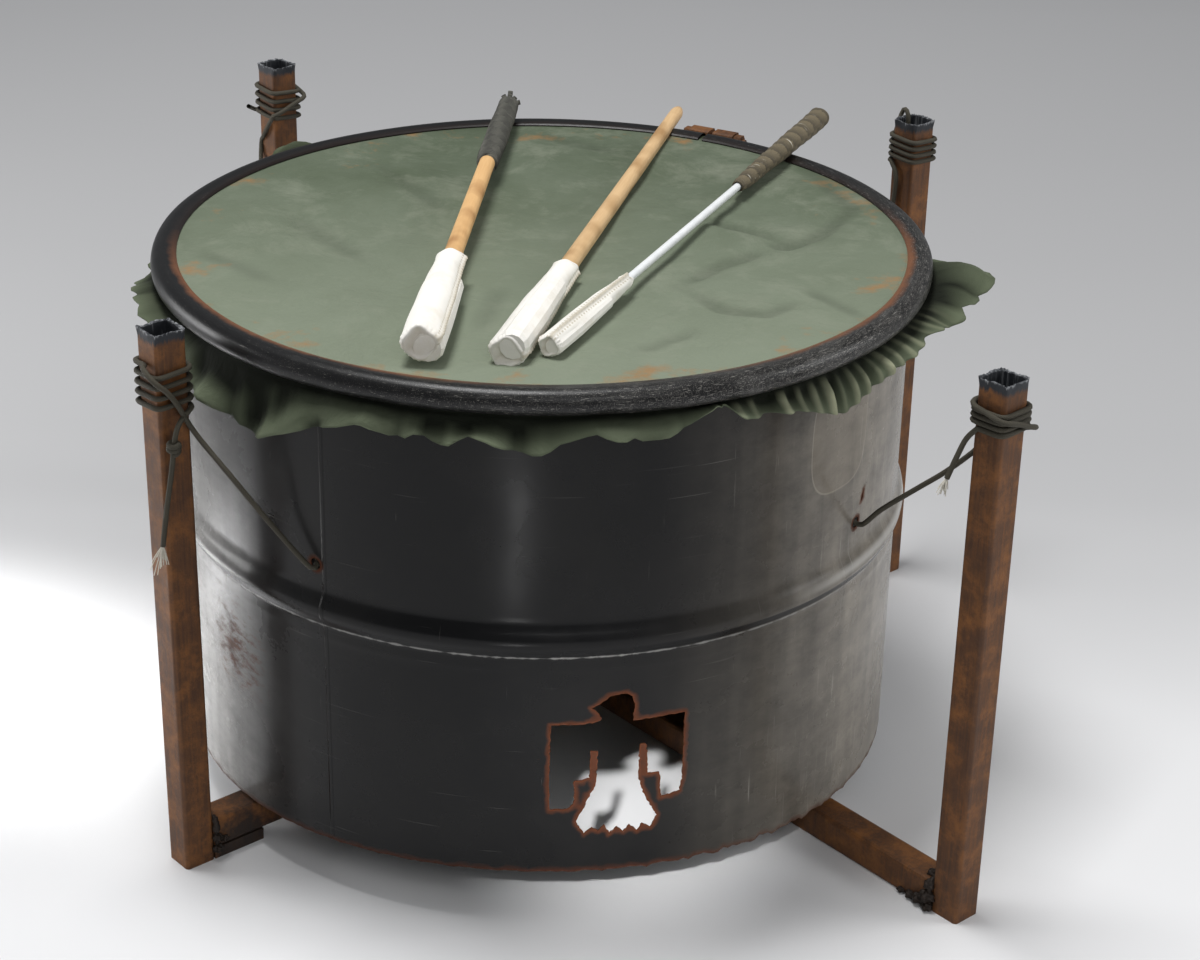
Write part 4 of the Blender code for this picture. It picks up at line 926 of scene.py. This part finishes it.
# Scratched black enamel: grey streaks of wear along the ring, scored by fine bright lines in three
# directions, and rusted brown along two stretches of its inner lip. The grey and the lines grow towards the
# right front, partly as painted highlight.
ring_paint, add, shader = new_material("scratched_black_enamel")
place = add("TexCoord").outputs["Object"]
centred = add("Mapping", place, Location=(-CENTRE[0], -CENTRE[1], -RIM_Z))
axes = add("SeparateXYZ", centred)
level = add("VectorMath", centred, (1, 1, 0), operation="MULTIPLY")
from_axis = add("VectorMath", level, operation="LENGTH")
around = add("Math", axes.outputs["Y"], axes.outputs["X"], operation="ARCTAN2")
ring_space = add("CombineXYZ", around, from_axis, axes.outputs["Z"])
long_space = add("Mapping", ring_space, Scale=(9.0, 420.0, 420.0))
grey = add("TexNoise", long_space, 1.0, 6.0, 0.7)
patches = add("TexNoise", place, 34.0, 6.0, 0.7)
both = add("Math", grey, patches, operation="ADD")
# Towards the right front the grey and the scores grow: partly wear, partly painted highlight for the glare
# there.
toward = add("VectorMath", centred, (2.4, -1.6, 0.0), operation="DOT_PRODUCT")
greyer_to_right = add("Math", toward, 0.26, both, operation="MULTIPLY_ADD")
grey_share = add("MapRange", greyer_to_right, 1.16, 1.46, 0.0, 0.55)
painted = add("Mix", grey_share, "#0d0d0e", "#4c4b49")
slits = add("MapRange", grey, 0.66, 0.74, 0.0, 0.6)
scored = add("Mix", slits, painted, "#7d7b77")
SCORES = (                  # a set of lines: how it is turned, its scale along and across, its threshold
    ((0.0, 0.35, 0.3), (70.0, 1500.0, 1500.0), 0.685), ((0.0, -0.8, 0.2), (900.0, 1300.0, 260.0), 0.70),
    ((0.4, 0.2, 0.9), (520.0, 1500.0, 1500.0), 0.69),
)
for tilt, scale, least in SCORES:
    mark_space = add("Mapping", ring_space, Rotation=tilt, Scale=scale)
    marks = add("TexNoise", mark_space, 1.0, 3.0)
    marks_to_right = add("Math", toward, 0.09, marks, operation="MULTIPLY_ADD")
    marked = add("MapRange", marks_to_right, least - 0.02, least + 0.05, 0.0, 0.6)
    scored = add("Mix", marked, scored, "#8f8c86")
lip_in = add("Math", patches, 0.012, from_axis, operation="MULTIPLY_ADD")
lip_edge = bead_centre - RING_LIP
lip_rust = add("MapRange", lip_in, lip_edge + 0.0078, lip_edge + 0.0132, 0.9, 0.0)
ring_degrees = add("Math", around, 180.0 / math.pi, operation="MULTIPLY")
rusty_there = None
for begin, end in ((-176.0, -92.0), (-64.0, 12.0)):
    middle = add("Math", ring_degrees, (begin + end) / 2, operation="SUBTRACT")
    off = add("Math", middle, operation="ABSOLUTE")
    near = add("MapRange", off, (end - begin) * 0.25, (end - begin) * 0.6, 1.0, 0.04,
               interpolation_type="SMOOTHSTEP")
    rusty_there = near if rusty_there is None else add("Math", rusty_there, near, operation="MAXIMUM")
lip_share = add("Math", lip_rust, rusty_there, operation="MULTIPLY")
lip = add("Mix", lip_share, scored, "#754a2e")
ring_gloss = add("MapRange", patches, 0.0, 1.0, 0.22, 0.52)
ring_bump = add("Bump", 0.3, 0.0005, Height=grey)
plug(shader, {"Base Color": lip, "Roughness": ring_gloss, "Specular IOR Level": 0.32, "Normal": ring_bump})
ring.data.materials.append(ring_paint)
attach(ring, "drum")
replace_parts(ring, "closing_ring")
recoat(["lug_left", "lug_right", "ring_nut", "ring_bolt"], rust_material)


# Canvas head: one sheet of sage-green tent canvas, stretched over the rim and clamped by the ring.
# What was left over hangs below the ring as a skirt, gathered in pleats and cut unevenly.
CANVAS = 0.0008
HEAD_EDGE = lip_edge
HEAD_RISE = 0.0058
HEAD_SAG = 0.0030
HEM = [                     # azimuth, hem below the rim's middle, hem off the shell, pleat depth
    (-178, 0.030, 0.026, 0.002), (-168, 0.016, 0.031, 0.002), (-160, 0.012, 0.029, 0.002),
    (-152, 0.030, 0.024, 0.003), (-146, 0.039, 0.021, 0.003), (-138, 0.050, 0.019, 0.002),
    (-132, 0.057, 0.020, 0.002), (-129, 0.055, 0.022, 0.002), (-123, 0.043, 0.021, 0.002),
    (-117, 0.031, 0.020, 0.002), (-112, 0.0235, 0.019, 0.002), (-109, 0.030, 0.019, 0.002),
    (-103, 0.027, 0.019, 0.003), (-96, 0.0265, 0.020, 0.003), (-89, 0.030, 0.021, 0.003),
    (-85, 0.025, 0.019, 0.002), (-81.5, 0.020, 0.019, 0.002), (-78, 0.026, 0.021, 0.003),
    (-73, 0.0275, 0.019, 0.002), (-69, 0.022, 0.015, 0.002), (-65, 0.009, 0.013, 0.002),
    (-62, 0.018, 0.020, 0.004), (-58, 0.021, 0.017, 0.005), (-52, 0.028, 0.019, 0.005),
    (-44, 0.040, 0.020, 0.0045), (-40, 0.034, 0.021, 0.0045), (-34, 0.024, 0.024, 0.004),
    (-28, 0.021, 0.027, 0.004), (-20, 0.018, 0.031, 0.004), (-14, 0.018, 0.041, 0.003),
    (-8, 0.014, 0.055, 0.002), (-3.5, 0.010, 0.066, 0.001), (0, 0.012, 0.056, 0.002),
    (5, 0.018, 0.024, 0.003), (12, 0.022, 0.020, 0.004), (40, 0.035, 0.018, 0.004),
    (80, 0.030, 0.018, 0.004), (110, 0.030, 0.020, 0.004), (126, 0.018, 0.044, 0.002),
    (132, 0.004, 0.066, 0.001), (138, 0.016, 0.046, 0.002), (155, 0.032, 0.022, 0.004),
]
HEAD_ROWS = 66
SKIRT_ROWS = 16
NECK_OFF = 0.0045           # the skirt's start under the ring: off the shell, and below the rim's middle
NECK_DROP = 0.0125
GATHERED = (-66.0, -14.0)   # azimuths of the tight pleats, where the columns stand closer
azimuths = np.concatenate([np.linspace(GATHERED[1], GATHERED[0] + 360.0, 261)[:-1],
                           np.linspace(GATHERED[0], GATHERED[1], 241)[:-1] + 360.0])
hem = np.array(HEM)
drop, stand, depth = (np.interp(azimuths, hem[:, 0], hem[:, i], period=360.0) for i in (1, 2, 3))
turn = np.radians(azimuths)
uneven = 1.9 * np.sin(3 * turn + 0.4) + 1.3 * np.sin(7 * turn + 1.0) + 0.8 * np.sin(12 * turn + 2.0)
gathered = np.clip(1.4 - np.abs(np.mod(azimuths, 360.0) - 320.0) / 19.0, 0.0, 1.0)
tight = np.sin(150 * turn + 3.0 * uneven) + 0.5 * np.sin(97 * turn + 2.0 * uneven)
pleats = np.sin(58 * turn + uneven) + 0.45 * np.sin(103 * turn + 1.7 * uneven) + 0.5 * np.sin(23 * turn + 2.0)
head_radius = HEAD_EDGE * np.linspace(0.0, 1.0, HEAD_ROWS) ** 0.9
CREASES = (                 # points from the drum's axis, depth and half width of each pressed fold
    (((0.2576, 0.1051), (0.2211, 0.0375), (0.1881, 0.0021), (0.1666, 0.0097)), 0.0040, 0.0082),
    (((0.1881, 0.0021), (0.1342, -0.0462), (0.1036, -0.0893)), 0.0035, 0.0080),
    (((0.1036, -0.0893), (0.1353, -0.1274), (0.1677, -0.1412), (0.2034, -0.0999)), 0.0032, 0.0082),
    (((0.2407, -0.1526), (0.1965, -0.0781)), 0.0025, 0.0075),
    (((0.1193, 0.0637), (0.1629, 0.0341), (0.2101, 0.0034)), 0.0030, 0.0075),
    (((-0.0268, -0.0905), (-0.0426, -0.1884)), 0.0018, 0.0100),
    (((-0.2126, 0.0579), (-0.1271, -0.0484)), 0.0020, 0.0115),
    (((-0.2708, -0.0331), (-0.1935, -0.0998)), 0.0020, 0.0100),
    (((-0.1465, 0.1722), (-0.0737, 0.0662)), 0.0018, 0.0115),
    (((-0.0176, 0.2686), (0.0612, 0.2140)), 0.0022, 0.0100),
    (((0.1183, -0.1592), (0.0695, -0.2243)), 0.0022, 0.0082),
    (((0.2132, 0.1948), (0.2545, 0.0671)), 0.0025, 0.0091),
)


def creased(x, y):
    """How far the pressed folds lower the cloth: a narrow valley along each line, and a soft rise by it."""
    lowered = np.zeros_like(x)
    for line, deep, half in CREASES:
        reach = np.full_like(x, 9.0)
        fade = np.ones_like(x)
        for number, (a, b) in enumerate(zip(line[:-1], line[1:])):
            run = np.subtract(b, a)
            share = ((x - a[0]) * run[0] + (y - a[1]) * run[1]) / (run @ run)
            kept = np.clip(share, 0.0, 1.0)
            off = np.hypot(x - a[0] - kept * run[0], y - a[1] - kept * run[1])
            nearer = off < reach
            progress = (number + kept) / (len(line) - 1)
            fade = np.where(nearer, np.clip(4.0 * np.minimum(progress, 1.0 - progress), 0.15, 1.0), fade)
            reach = np.minimum(reach, off)
        rise = 0.45 * np.exp(-((reach - 2.4 * half) / (1.5 * half)) ** 2)
        lowered += deep * fade * (np.exp(-(reach / half) ** 2) - rise)
    return lowered


columns = []
shade = []                  # painted shade: how dark each point lies in its fold, under the ring or in the skirt's hollows, from 0 to 1
for radius in head_radius:
    share = radius / HEAD_EDGE
    x, y = radius * np.cos(turn), radius * np.sin(turn)
    calm = (1.0 - share ** 6) * min(1.0, share * 8.0)
    folds = 0.0010 * np.sin(46 * y + 29 * x + 2.2 * np.sin(11 * x) + 1.0) * np.clip(0.5 + 2.2 * x, 0, 1)
    folds += 0.0016 * np.sin(18 * x - 25 * y + 1.5 * np.sin(14 * y)) + 0.0012 * np.sin(31 * x + 17 * y + 4)
    folds += 0.0005 * np.sin(52 * x - 37 * y + 2.0 * np.sin(19 * x + 3))
    folds += 0.0007 * np.sin(34 * turn + 2.0 * np.sin(5 * turn)) * np.clip((share - 0.5) / 0.4, 0.0, 1.0)
    pressed = creased(x, y)
    height = HEAD_RISE - HEAD_SAG * (1.0 - share ** 2) + (folds - pressed) * calm
    shade.append(np.clip(pressed / 0.0110, 0.0, 0.22))
    columns.append(polar(radius, azimuths, RIM_Z + height))
clamp = (RING_IN + BEAD) / 2
for a in np.radians(np.linspace(100.0, -60.0, 10)):
    shade.append(np.full(len(turn), 0.6))
    columns.append(polar(bead_centre + clamp * math.cos(a), azimuths, RIM_Z + clamp * math.sin(a)))
columns.append(polar(bead_centre, azimuths, RIM_Z - 0.0095))
shade.append(np.ones(len(turn)))
crests = [np.zeros(len(turn))] * len(columns)     # painted highlight: how far each point stands out on a lit pleat, 0 to 1
for s in np.linspace(0.0, 1.0, SKIRT_ROWS):
    opening = s ** 0.75
    ripple = depth * pleats * (0.25 + 0.75 * s) * min(1.0, s * 3.0 + 0.15) * (1.0 - 0.8 * gathered * s)
    ripple += 0.0029 * gathered * tight * min(1.0, 0.3 + s * 2.0) * (1.0 - 0.55 * s * s)
    belly = 0.004 * np.sin(math.pi * s) * np.sin(9 * turn + 1.0)
    draped = np.exp(-((np.mod(azimuths, 360.0) - 227.0) / 24.0) ** 2)
    belly += 0.0045 * draped * s * np.sin(24 * turn + 5.0 * s + 1.2 * np.sin(6 * turn))
    radius = SHELL_RADIUS + NECK_OFF + (stand - NECK_OFF) * opening + ripple + belly
    radius = np.maximum(radius, SHELL_RADIUS + 0.0016)
    curl = -0.004 * (s ** 3) * np.sin(29 * turn + uneven) * (depth > 0.0025) * (1.0 - 0.85 * gathered)
    lift = 0.010 * np.clip((stand - 0.030) / 0.035, 0.0, 1.0) * math.sin(math.pi * min(1.0, s * 1.1))
    height = RIM_Z - NECK_DROP - (drop - NECK_DROP) * s + curl + lift
    height = np.where(radius > bead_centre - 0.002, np.minimum(height, RIM_Z - 0.0098 + lift), height)
    columns.append(polar(radius, azimuths, height))
    hollow = np.clip(0.25 - 0.55 * (ripple + belly) / (depth + 0.002), 0.0, 1.0)
    shade.append(np.clip(hollow * 0.85 + 0.92 * (1.0 - s) ** 1.1, 0.0, 1.0))
    crests.append(0.9 * np.clip(gathered * (0.6 * tight + 0.3 * pleats), 0.0, 1.0) * min(1.0, 2.2 * s))
canvas = surface("canvas_sheet", np.stack(columns, axis=1), close_u=True, uv_scale=(1.85, 0.38))
mark(canvas.data, "fold", np.stack(shade, axis=1))
mark(canvas.data, "crest", np.stack(crests, axis=1))
canvas.modifiers.new("pole", "WELD").merge_threshold = 0.00002
cloth = canvas.modifiers.new("cloth", "SOLIDIFY")
cloth.thickness = CANVAS
cloth.offset = 0.0

# Duck canvas: plain-woven cotton, dyed sage green and faded. Its threads are 0.5 mm apart, drawn 0.9 mm
# apart so that they show. Chalky scuffs, orange rust stains by the ring and grey wear vary the colour.
# Painted
# light and shade vary it too: a paler front, a darker skirt, darker folds and paler pleat crests.
duck, add, shader = new_material("faded_cotton_duck")
place = add("TexCoord").outputs["Object"]
cloudy = add("TexNoise", place, 9.0, 9.0, 0.68, Distortion=0.2)
cloud_share = add("MapRange", cloudy, 0.34, 0.68)
sage = add("Mix", cloud_share, "#4c5644", "#606959")
# Painted light: the head is painted paler towards its front, where more light falls.
front_on = add("SeparateXYZ", place)
painted_front_light = add("MapRange", front_on.outputs["Y"], 0.25, -0.38, 0.0, 0.75,
                  interpolation_type="SMOOTHSTEP")
sage = add("Mix", painted_front_light, sage, "#868e7c")
chalky = add("TexNoise", place, 15.0, 10.0, 0.74, Distortion=0.3)
chalk_share = add("MapRange", chalky, 0.5, 0.74, 0.0, 0.65)
chalked = add("Mix", chalk_share, sage, "#858a7a")
centred = add("Mapping", place, Location=(-CENTRE[0], -CENTRE[1], -RIM_Z))
level = add("VectorMath", centred, (1, 1, 0), operation="MULTIPLY")
from_axis = add("VectorMath", level, operation="LENGTH")
stains = add("TexNoise", place, 24.0, 6.0, 0.65)
near_ring = add("MapRange", from_axis, 0.18, 0.284, 0.0, 0.17, interpolation_type="SMOOTHSTEP")
stain_level = add("Math", stains, near_ring, operation="ADD")
on_head = add("MapRange", from_axis, 0.284, 0.288, 0.62, 0.0)
stain_share = add("MapRange", stain_level, 0.72, 0.86)
stained_by = add("Math", stain_share, on_head, operation="MULTIPLY")
stained = add("Mix", stained_by, chalked, "#9a6f42")
# Painted shade: the whole skirt below the rim is painted darker, standing for the ring's shadow over it.
skirt_painted_shade = add("MapRange", from_axis, 0.2855, 0.2885, 0.0, 0.62)
skirt_shaded = add("Mix", skirt_painted_shade, stained, "#50583f")
# Painted shade: darkens pressed creases, the cloth under the ring, the skirt near the ring and its hollows.
fold_shade = add("Attribute", attribute_name="fold").outputs["Fac"]
fold_shaded = add("Mix", fold_shade, skirt_shaded, "#171a13")
# Painted highlight: the gathered pleats' outermost ridges are painted pale where light strikes them.
on_crest = add("Attribute", attribute_name="crest").outputs["Fac"]
crest_lit = add("Mix", on_crest, fold_shaded, "#94967d")
threads = []
for direction in ("X", "Y"):
    wave = add("TexWave", place, 350.0, bands_direction=direction)
    threads.append(wave.outputs["Fac"])
woven = add("Math", threads[0], threads[1], operation="MULTIPLY")
crease_space = add("Mapping", place, Rotation=(0, 0, 0.6), Scale=(1.0, 1.7, 1.0))
creases = add("TexNoise", crease_space, 8.0, 7.0, 0.55, Distortion=0.6)
thread_bump = add("Bump", 0.25, 0.0002, Height=woven)
cloth_bump = add("Bump", 0.8, 0.014, Height=creases, Normal=thread_bump)
plug(shader, {"Base Color": crest_lit, "Roughness": 0.85, "Specular IOR Level": 0.12, "Normal": cloth_bump})
canvas.data.materials.append(duck)
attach(canvas, "drum")
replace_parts(canvas, "canvas_head")


# Beaters: sticks with a padded, hand-sewn white leather cover on one end. Two have a wound cloth grip.
# Each lies with its cover on the head and its handle across the closing ring.
def stick_of(node):
    """A straight piece's near end and its direction, which is its points' longest."""
    points = np.array([v.co for v in nodes[node].data.vertices])
    middle = (points.max(axis=0) + points.min(axis=0)) / 2
    direction = np.linalg.svd(points - points.mean(axis=0), full_matrices=False)[2][0]
    direction = direction if direction[1] > 0 else -direction
    reach = (points - middle) @ direction
    return points[np.argsort(reach)[:12]].mean(axis=0), direction


def stick_surface(name, start, direction, along, radius, sides, shift=None):
    """A stick's surface. radius is one number a station, or an array (sides, stations), and shift is
    such an array too, of how far each point is moved along the stick."""
    side = unit(np.cross(direction, (0.0, 0.0, 1.0)))
    rise = np.cross(side, direction)
    turn = np.arange(sides + 1) * 2 * np.pi / sides
    radius = np.broadcast_to(radius, (sides + 1, len(along)))
    ring = np.cos(turn)[:, None, None] * side + np.sin(turn)[:, None, None] * rise
    reach = np.broadcast_to(along, (sides + 1, len(along)))
    if shift is not None:
        reach = reach + shift
    grid = start + reach[..., None] * direction + ring * radius[..., None]
    girth = 2 * math.pi * float(np.mean(radius))
    return surface(name, grid, uv_scale=(girth, float(along[-1] - along[0])))


def wood_material(name, pale, dark, knot):
    """Turned hardwood handled for years: fine grain along the stick and darker bands at its knots."""
    made, add, shader = new_material(name)
    uv = add("TexCoord").outputs["UV"]
    stretched = add("Mapping", uv, Scale=(140.0, 9.0, 1.0))
    grain = add("TexNoise", stretched, 4.0, 6.0)
    broad_space = add("Mapping", uv, Scale=(12.0, 10.0, 1.0))
    broad = add("TexNoise", broad_space, 1.6, 3.0)
    tone = add("Mix", grain, pale, dark)
    knots = add("MapRange", broad, 0.48, 0.66, 0.0, 0.8)
    banded = add("Mix", knots, tone, knot)
    grain_bump = add("Bump", 0.2, 0.0003, Height=grain)
    plug(shader, {"Base Color": banded, "Roughness": 0.6, "Specular IOR Level": 0.3, "Normal": grain_bump})
    return made


orange_wood = wood_material("oiled_ash", "#e3bb85", "#cc9f69", "#8a5a30")
pale_wood = wood_material("bare_ash", "#dcbc90", "#c5a174", "#9c764a")

# White fibreglass rod: pultruded, smooth and slightly dull.
rod_material, add, shader = new_material("white_fibreglass_rod")
uv = add("TexCoord").outputs["UV"]
dull = add("TexNoise", uv, 90.0, 4.0)
rod_tone = add("Mix", dull, "#d5d8da", "#f0f2f2")
plug(shader, {"Base Color": rod_tone, "Roughness": 0.38})

# White garment leather: soft pigskin with fine pebbled grain, greyed and yellowed on its folds and tip.
leather, add, shader = new_material("white_pigskin")
place = add("TexCoord").outputs["Object"]
soiled = add("TexNoise", place, 38.0, 6.0, 0.7)
dirt = add("MapRange", soiled, 0.5, 0.8, 0.0, 0.7)
hide = add("Mix", dirt, "#efece5", "#d8cfbe")
rubbed = add("Attribute", attribute_name="fold").outputs["Fac"]
folded = add("Mix", rubbed, hide, "#a89c80")
grain = add("TexVoronoi", place, 900.0)
wrinkle = add("TexNoise", place, 120.0, 5.0)
grain_bump = add("Bump", 0.25, 0.0003, Height=grain)
hide_bump = add("Bump", 0.35, 0.0015, Height=wrinkle, Normal=grain_bump)
plug(shader, {"Base Color": folded, "Roughness": 0.62, "Normal": hide_bump})


def grip_material(name, dark, pale, pitch, thread):
    """Wound cloth: narrow turns about the stick, each a soft ridge, with loose threads along their edges."""
    made, add, shader = new_material(name)
    uv = add("TexCoord").outputs["UV"]
    slanted = add("Mapping", uv, Rotation=(0, 0, 0.16))
    turns = add("TexWave", slanted, 0.314 / pitch, 1.2, 2.0, 30.0, bands_direction="Y", wave_profile="SAW")
    patchy = add("TexNoise", uv, 120.0, 5.0)
    tone = add("Mix", turns.outputs["Fac"], dark, pale)
    patch_share = add("Math", patchy, 0.45, operation="MULTIPLY")
    mottled = add("Mix", patch_share, tone, dark)
    loose_space = add("Mapping", uv, Rotation=(0, 0, 0.5), Scale=(40.0, 420.0, 1.0))
    loose = add("TexNoise", loose_space, 1.3, 2.0)
    lint = add("MapRange", loose, 0.68, 0.74, 0.0, thread)
    linted = add("Mix", lint, mottled, "#d9d5c8")
    turn_bump = add("Bump", 1.0, 0.0022, Height=turns.outputs["Fac"])
    plug(shader, {"Base Color": linted, "Roughness": 0.9, "Normal": turn_bump})
    return made


GREY_PITCH = 0.0030         # from one turn of the wound cloth to the next
OLIVE_PITCH = 0.016
grey_grip = grip_material("grey_cotton_tape", "#2b2a26", "#7b7a70", GREY_PITCH, 0.25)
olive_grip = grip_material("olive_cloth_strip", "#4a4335", "#776c55", OLIVE_PITCH, 0.8)
BEATERS = {                 # profiles of (place along the stick, radius), and the seam's place in radians
    "beater_left": {
        "cover": [(0.0, 0.0118), (0.006, 0.0137), (0.060, 0.0137), (0.120, 0.0122), (0.160, 0.0108)],
        "shaft": [(0.010, 0.0070), (0.060, 0.0072), (0.300, 0.0068), (0.536, 0.0060)],
        "grip": [(0.389, 0.0084), (0.400, 0.0092), (0.470, 0.0095), (0.547, 0.0085)],
        "seam": 0.25, "wood": orange_wood, "rod_slot": "wood",
        "cloth": grey_grip, "cloth_slot": "grey_cloth", "pitch": GREY_PITCH, "ridge": 0.00066,
    },
    "beater_middle": {
        "cover": [(0.0, 0.0112), (0.006, 0.0131), (0.060, 0.0130), (0.120, 0.0112), (0.168, 0.0095)],
        "shaft": [(0.010, 0.0066), (0.060, 0.0072), (0.350, 0.0064), (0.575, 0.0058), (0.583, 0.0040)],
        "seam": -0.1, "wood": pale_wood, "rod_slot": "wood",
    },
    "beater_right": {
        "cover": [(0.0, 0.0070), (0.005, 0.0085), (0.040, 0.0088), (0.095, 0.0072), (0.137, 0.0052)],
        "shaft": [(0.008, 0.0031), (0.060, 0.0031), (0.300, 0.0031), (0.553, 0.0031)],
        "grip": [(0.366, 0.0046), (0.385, 0.0062), (0.470, 0.0078), (0.566, 0.0088)],
        "seam": 1.35, "wood": rod_material, "rod_slot": "fibreglass",
        "cloth": olive_grip, "cloth_slot": "olive_cloth", "pitch": OLIVE_PITCH, "ridge": 0.00090,
    },
}


def read(profile, along):
    """A profile of (place along the stick, radius) pairs, read at any places."""
    return np.interp(along, *np.transpose(profile))


def cover_radius(along, turn, profile, seam_turn):
    """A sewn sock's radius and how dark it is: its profile, a few soft lumps of stuffing, and a proud seam
    with a pucker every 5 mm between two rows of stitches."""
    length = profile[-1][0]
    base = read(profile, along)[None, :]
    t, s = np.meshgrid(turn, along, indexing="ij")
    lumps = 1.0 + 0.022 * np.sin(2 * t + 40 * s) + 0.016 * np.sin(3 * t - 75 * s + 1)
    lumps += 0.01 * np.sin(5 * t + 160 * s)
    gap = np.angle(np.exp(1j * (t - seam_turn))) * base
    pucker = 1.0 + 0.35 * np.sin(s * 2 * np.pi / 0.005)
    ridge = 0.0017 * np.exp(-(gap / 0.0012) ** 2) * pucker * np.clip(s / 0.012, 0, 1)
    mouth = 0.0006 * np.exp(-((s - length + 0.002) / 0.0016) ** 2)
    squared = 0.070 * np.cos(4 * (t - seam_turn) + 0.6) * np.clip(1.0 - s / 0.045, 0.0, 1.0)
    rolled = 0.0008 * np.exp(-((s - 0.0035) / 0.0018) ** 2) * (1.0 + 0.4 * np.sin(22 * t))
    stitches = np.exp(-((np.abs(gap) - 0.0030) / 0.0006) ** 2) * (np.sin(s * 2 * np.pi / 0.0042) > -0.2)
    darkness = np.clip(np.exp(-(gap / 0.0016) ** 2) * 0.7 + 0.75 * stitches, 0, 1)
    return base * (lumps + squared) + ridge + rolled + mouth, darkness


TIP = np.array([0.0, 0.25, 0.5, 0.72, 0.88])    # the tip's rings, in shares of the cover's first radius
RAGS = ((0.5, 0.2, 0.5), (-0.5, 0.1, 0.7), (0.1, 0.3, 1.0), (0.9, -0.1, 0.2), (-0.2, 0.2, 0.2))
RAG_RADIUS = 0.0022
for name, spec in BEATERS.items():
    shaft_start, direction = stick_of(name + "_shaft")
    start = shaft_start - direction * spec["shaft"][0][0]
    turn = np.arange(97) * 2 * np.pi / 96
    profile = spec["cover"]
    length = profile[-1][0]
    body_along = np.concatenate([np.linspace(0.0, 0.006, 7)[1:], np.linspace(0.0075, length, 200)])
    radius, fold = cover_radius(body_along, turn, profile, spec["seam"])
    inner = read(spec["shaft"], length) + 0.0004
    crease = np.abs(np.sin(turn[:, None] * 1.5 + 0.6)) * TIP
    lips = np.tile([profile[-1][1] - 0.0012, inner, inner], (len(turn), 1))
    radius = np.hstack([radius[:, :1] * TIP, radius, lips])
    along = np.concatenate([0 * TIP, body_along, [length - 0.0004, length - 0.003, length - 0.012]])
    shift = np.zeros_like(radius)
    shift[:, :len(TIP)] = 0.0050 * (1 - TIP ** 4) - 0.0022 * crease
    wavy = 0.0022 * np.sin(2 * turn + 1) + 0.0012 * np.sin(5 * turn)
    loosened = np.clip((along[len(TIP):] - 0.6 * length) / (0.4 * length), 0, 1)
    shift[:, len(TIP):] = wavy[:, None] * loosened
    cover = stick_surface(name + "_leather", start, direction, along, radius, 96, shift=shift)
    mark(cover.data, "fold", np.hstack([0.35 * (1 - crease), fold, np.repeat(fold[:, -1:], 3, axis=1)]))
    cover.data.materials.append(leather)
    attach(cover, name)
    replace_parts(cover, name + "_cover")
    profile = spec["shaft"]
    along = np.linspace(profile[0][0], profile[-1][0], 120)
    radius = read(profile, along)
    along = np.concatenate([along[:1], along, along[-1:] + [0.0012, 0.0016]])
    radius = np.concatenate([[0.0], radius, [radius[-1] * 0.6, 0.0]])
    shaft = stick_surface(name + "_stick", start, direction, along, radius, 32)
    shaft.data.materials.append(spec["wood"])
    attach(shaft, name)
    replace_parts(shaft, name + "_shaft")
    recoat([name + "_padding"], leather)
    if "grip" in spec:
        profile = spec["grip"]
        along = np.linspace(profile[0][0], profile[-1][0], 150)
        t, s = np.meshgrid(np.arange(49) * 2 * np.pi / 48, along, indexing="ij")
        ridge = spec["ridge"] * ((s / spec["pitch"] - t / (2 * np.pi)) % 1.0)
        radius = read(profile, along) + ridge - 0.0002 + 0.0002 * np.sin(3 * t + 90 * s)
        radius = np.hstack([radius[:, :1] * 0 + 0.004, radius, radius[:, -1:] * 0.7, radius[:, -1:] * 0])
        along = np.concatenate([along[:1], along, along[-1:] + [0.002, 0.0025]])
        grip = stick_surface(name + "_cloth", start, direction, along, radius, 48)
        grip.data.materials.append(spec["cloth"])
        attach(grip, name)
        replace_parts(grip, name + "_grip")
    if name == "beater_left":
        grip_end = start + direction * (spec["grip"][-1][0] - 0.001)
        rags = []
        for number, lean in enumerate(RAGS):
            bent = 3 * RAG_RADIUS * np.array(lean)
            strip = [grip_end + bent * 0.6, grip_end + direction * 0.004 + bent,
                     grip_end + direction * 0.0055 + bent * 1.6]
            rags.append(tube("rag_end_%d" % number, smooth_route(strip, 0.001), RAG_RADIUS, 8)[0])
            rags[-1].data.materials.append(spec["cloth"])
        rag_end = together("rag_end", rags)
        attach(rag_end, name)
